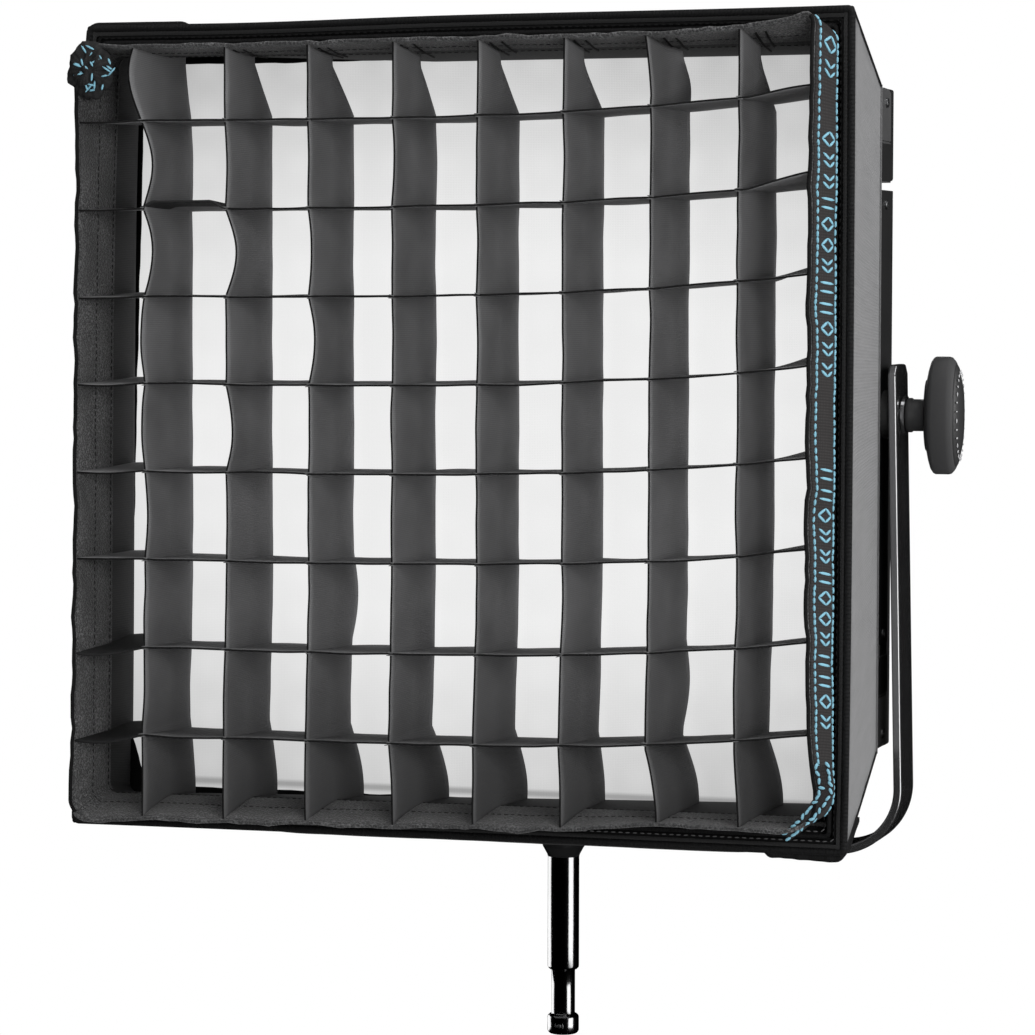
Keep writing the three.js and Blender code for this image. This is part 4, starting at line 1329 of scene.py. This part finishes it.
def make_frame_lip():
    """The raised rim behind the frame, a sleeve round each corner's leg and a plate over part of each gap."""
    outer, inner = FRAME_HALF - 0.6 * MM, FRAME_HALF - 4.5 * MM
    front, rear = FRAME_BACK - 0.4 * MM, FRAME_BACK + 10.5 * MM
    notch = (110 * MM, 118 * MM)
    sleeve = (FRAME_HALF - 46.5 * MM, FRAME_HALF - 28 * MM)
    # Each plate's setback from the frame's front, and its ends above the head's middle.
    plates = ((9.5 * MM, -119 * MM, -108 * MM), (0.5 * MM, 109 * MM, 113.2 * MM))
    rims = []
    covers = []
    sleeves = []
    for sign in (-1, 1):
        for bottom, top in ((-outer, -notch[1]), (-notch[0], notch[0]), (notch[1], outer)):
            rims.append(((sign * inner, sign * outer), (front, rear), (HEAD_Z + bottom, HEAD_Z + top)))
        rims.append(((-inner, inner), (front, rear), (HEAD_Z + sign * inner, HEAD_Z + sign * outer)))
        sides = (sign * (FRAME_HALF - 1.9 * MM), sign * (FRAME_HALF - 0.5 * MM))
        for setback, bottom, top in plates:
            covers.append((sides, (FRAME_FRONT + setback, rear - 1.3 * MM), (HEAD_Z + bottom, HEAD_Z + top)))
        sides = (sign * (FRAME_HALF - 1 * MM), sign * (FRAME_HALF + 0.25 * MM))
        for up in (-1, 1):
            sleeves.append((sides, (FRAME_FRONT + 0.5 * MM, FRAME_BACK - 0.3 * MM),
                            (HEAD_Z + up * sleeve[0], HEAD_Z + up * sleeve[1])))
    blocks("frame_rear_rim", rims, "rail", 1.2 * MM)
    blocks("frame_gap_covers", covers, "rail", 0.4 * MM)
    blocks("frame_corner_sleeves", sleeves, "rail", 0.2 * MM)


# ---- Lights and floor ----
def area_light(name, place, aim, size, power, only=(), never=()):
    """A soft box of light. It lights every piece, or only those named, or all but those named."""
    data = bpy.data.lights.new(name, "AREA")
    data.shape = "RECTANGLE"
    data.size, data.size_y = size
    data.energy = power
    lamp = bpy.data.objects.new(name, data)
    lamp.location = place
    lamp.rotation_euler = (Vector(aim) - Vector(place)).to_track_quat("-Z", "Y").to_euler()
    bpy.context.scene.collection.objects.link(lamp)
    if only or never:
        lit = bpy.data.collections.new(f"{name}_pieces")
        for made in [*only, *never]:
            lit.objects.link(bpy.data.objects[made])
        for link in lit.collection_objects:
            link.light_linking.link_state = "INCLUDE" if only else "EXCLUDE"
        lamp.light_linking.receiver_collection = lit


def make_backdrop():
    """A plain white dome far outside the lights, seen behind the object and lighting nothing."""
    shell = bmesh.new()
    bmesh.ops.create_uvsphere(shell, u_segments=48, v_segments=24, radius=9)
    data = bpy.data.meshes.new("backdrop")
    shell.to_mesh(data)
    shell.free()
    paint = Paint("backdrop_white", grey(0), 1, Emission_Color=grey(1), Emission_Strength=1.0)
    paint.shader.inputs["Specular IOR Level"].default_value = 0
    data.materials.append(paint.material)
    backdrop = bpy.data.objects.new("backdrop", data)
    bpy.context.scene.collection.objects.link(backdrop)
    backdrop.visible_diffuse = False
    backdrop.visible_glossy = False
    backdrop.visible_transmission = False
    backdrop.visible_shadow = False
    return backdrop


def make_stage():
    """The pale world, a white floor under the stud, and the backdrop."""
    world = bpy.data.worlds.new("studio")
    bpy.context.scene.world = world
    world.use_nodes = True
    sky = world.node_tree.nodes["Background"]
    sky.inputs["Color"].default_value = (1, 1, 1, 1)
    sky.inputs["Strength"].default_value = 0.36
    world.cycles_visibility.glossy = False
    corners, radius, height = 64, 1.2, -0.5
    points = [(radius * direction(2 * math.pi * k / corners)).to_3d() + Vector((0, 0, height))
              for k in range(corners)]
    floor = bpy.data.objects.new("floor", mesh("floor", points, [tuple(range(corners))]))
    white = Paint("floor_white", grey(0.9), 0.8)
    cloudy = white.noise(white.place(), 3, 3)
    white.paint(white.mix(cloudy, grey(0.86), grey(0.92)))
    floor.data.materials.append(white.material)
    floor.visible_glossy = False
    bpy.context.scene.collection.objects.link(floor)
    backdrop = make_backdrop()
    bpy.context.scene.view_settings.view_transform = "Standard"


def make_lights():
    """Soft lights round the object, with strips of their own for the stud and the yoke."""
    aim = (0, 0, HEAD_Z)
    metal = ["stud", "stud_pin_front", "stud_pin_back", "yoke"]
    area_light("side_right", (2.4, 0.05, 0.8), aim, (1.0, 1.4), 40, never=metal)
    area_light("front_right", (1.6, -2.1, 0.6), aim, (1.1, 1.0), 26, never=metal)
    area_light("front_left", (-0.4, -2.6, 0.9), aim, (1.2, 1.0), 9, never=metal)
    area_light("top", (0.2, -0.6, 2.2), aim, (1.4, 1.0), 20)
    area_light("rear", (-0.9, 2.4, 1.0), aim, (1.4, 1.2), 20, never=metal)
    area_light("yoke_strip", (1.55, -1.9, 0.3), (0.17, 0, 0.3), (1.5, 1.8), 34, only=["yoke"])
    area_light("stud_strip_right", (1.9, -0.55, 0.0), (0, 0, 0.05), (1.3, 1.6), 13, only=metal[:3])
    area_light("stud_strip_left", (-2.0, 0.9, 0.0), (0, 0, 0.05), (2.0, 1.6), 18, only=metal[:3])


# ---- Build ----
make_camera()
make_stage()
for side in SIDES:
    make_hem(side)
    make_wall(side)
    band = make_band(side)
    if side == "top":
        make_creases(*band[:2])
    if side == "right":
        blue_marks(side, *band)
make_mouth_trim()
make_diffuser()
make_bar_tacks([make_upright(k) for k in range(SLATS)], [make_level(k) for k in range(SLATS)])
make_crumple()
make_corner_ribbon()
make_corner_fold()
make_layer("top_corner_flap", "corner_flap", "trim", 2.0 * MM, shorten=1 * MM)
make_layer("bottom_overlap_layer", "overlap_layer", "wall", 1.2 * MM)
make_layer("bottom_corner_tab", "corner_tab", "trim", 3.0 * MM, ragged=1.5 * MM)
make_yoke()
make_stud()
for side in ("right", "left"):
    make_knob(side)
dress_cad()
make_back()
make_frame_lip()
make_lights()
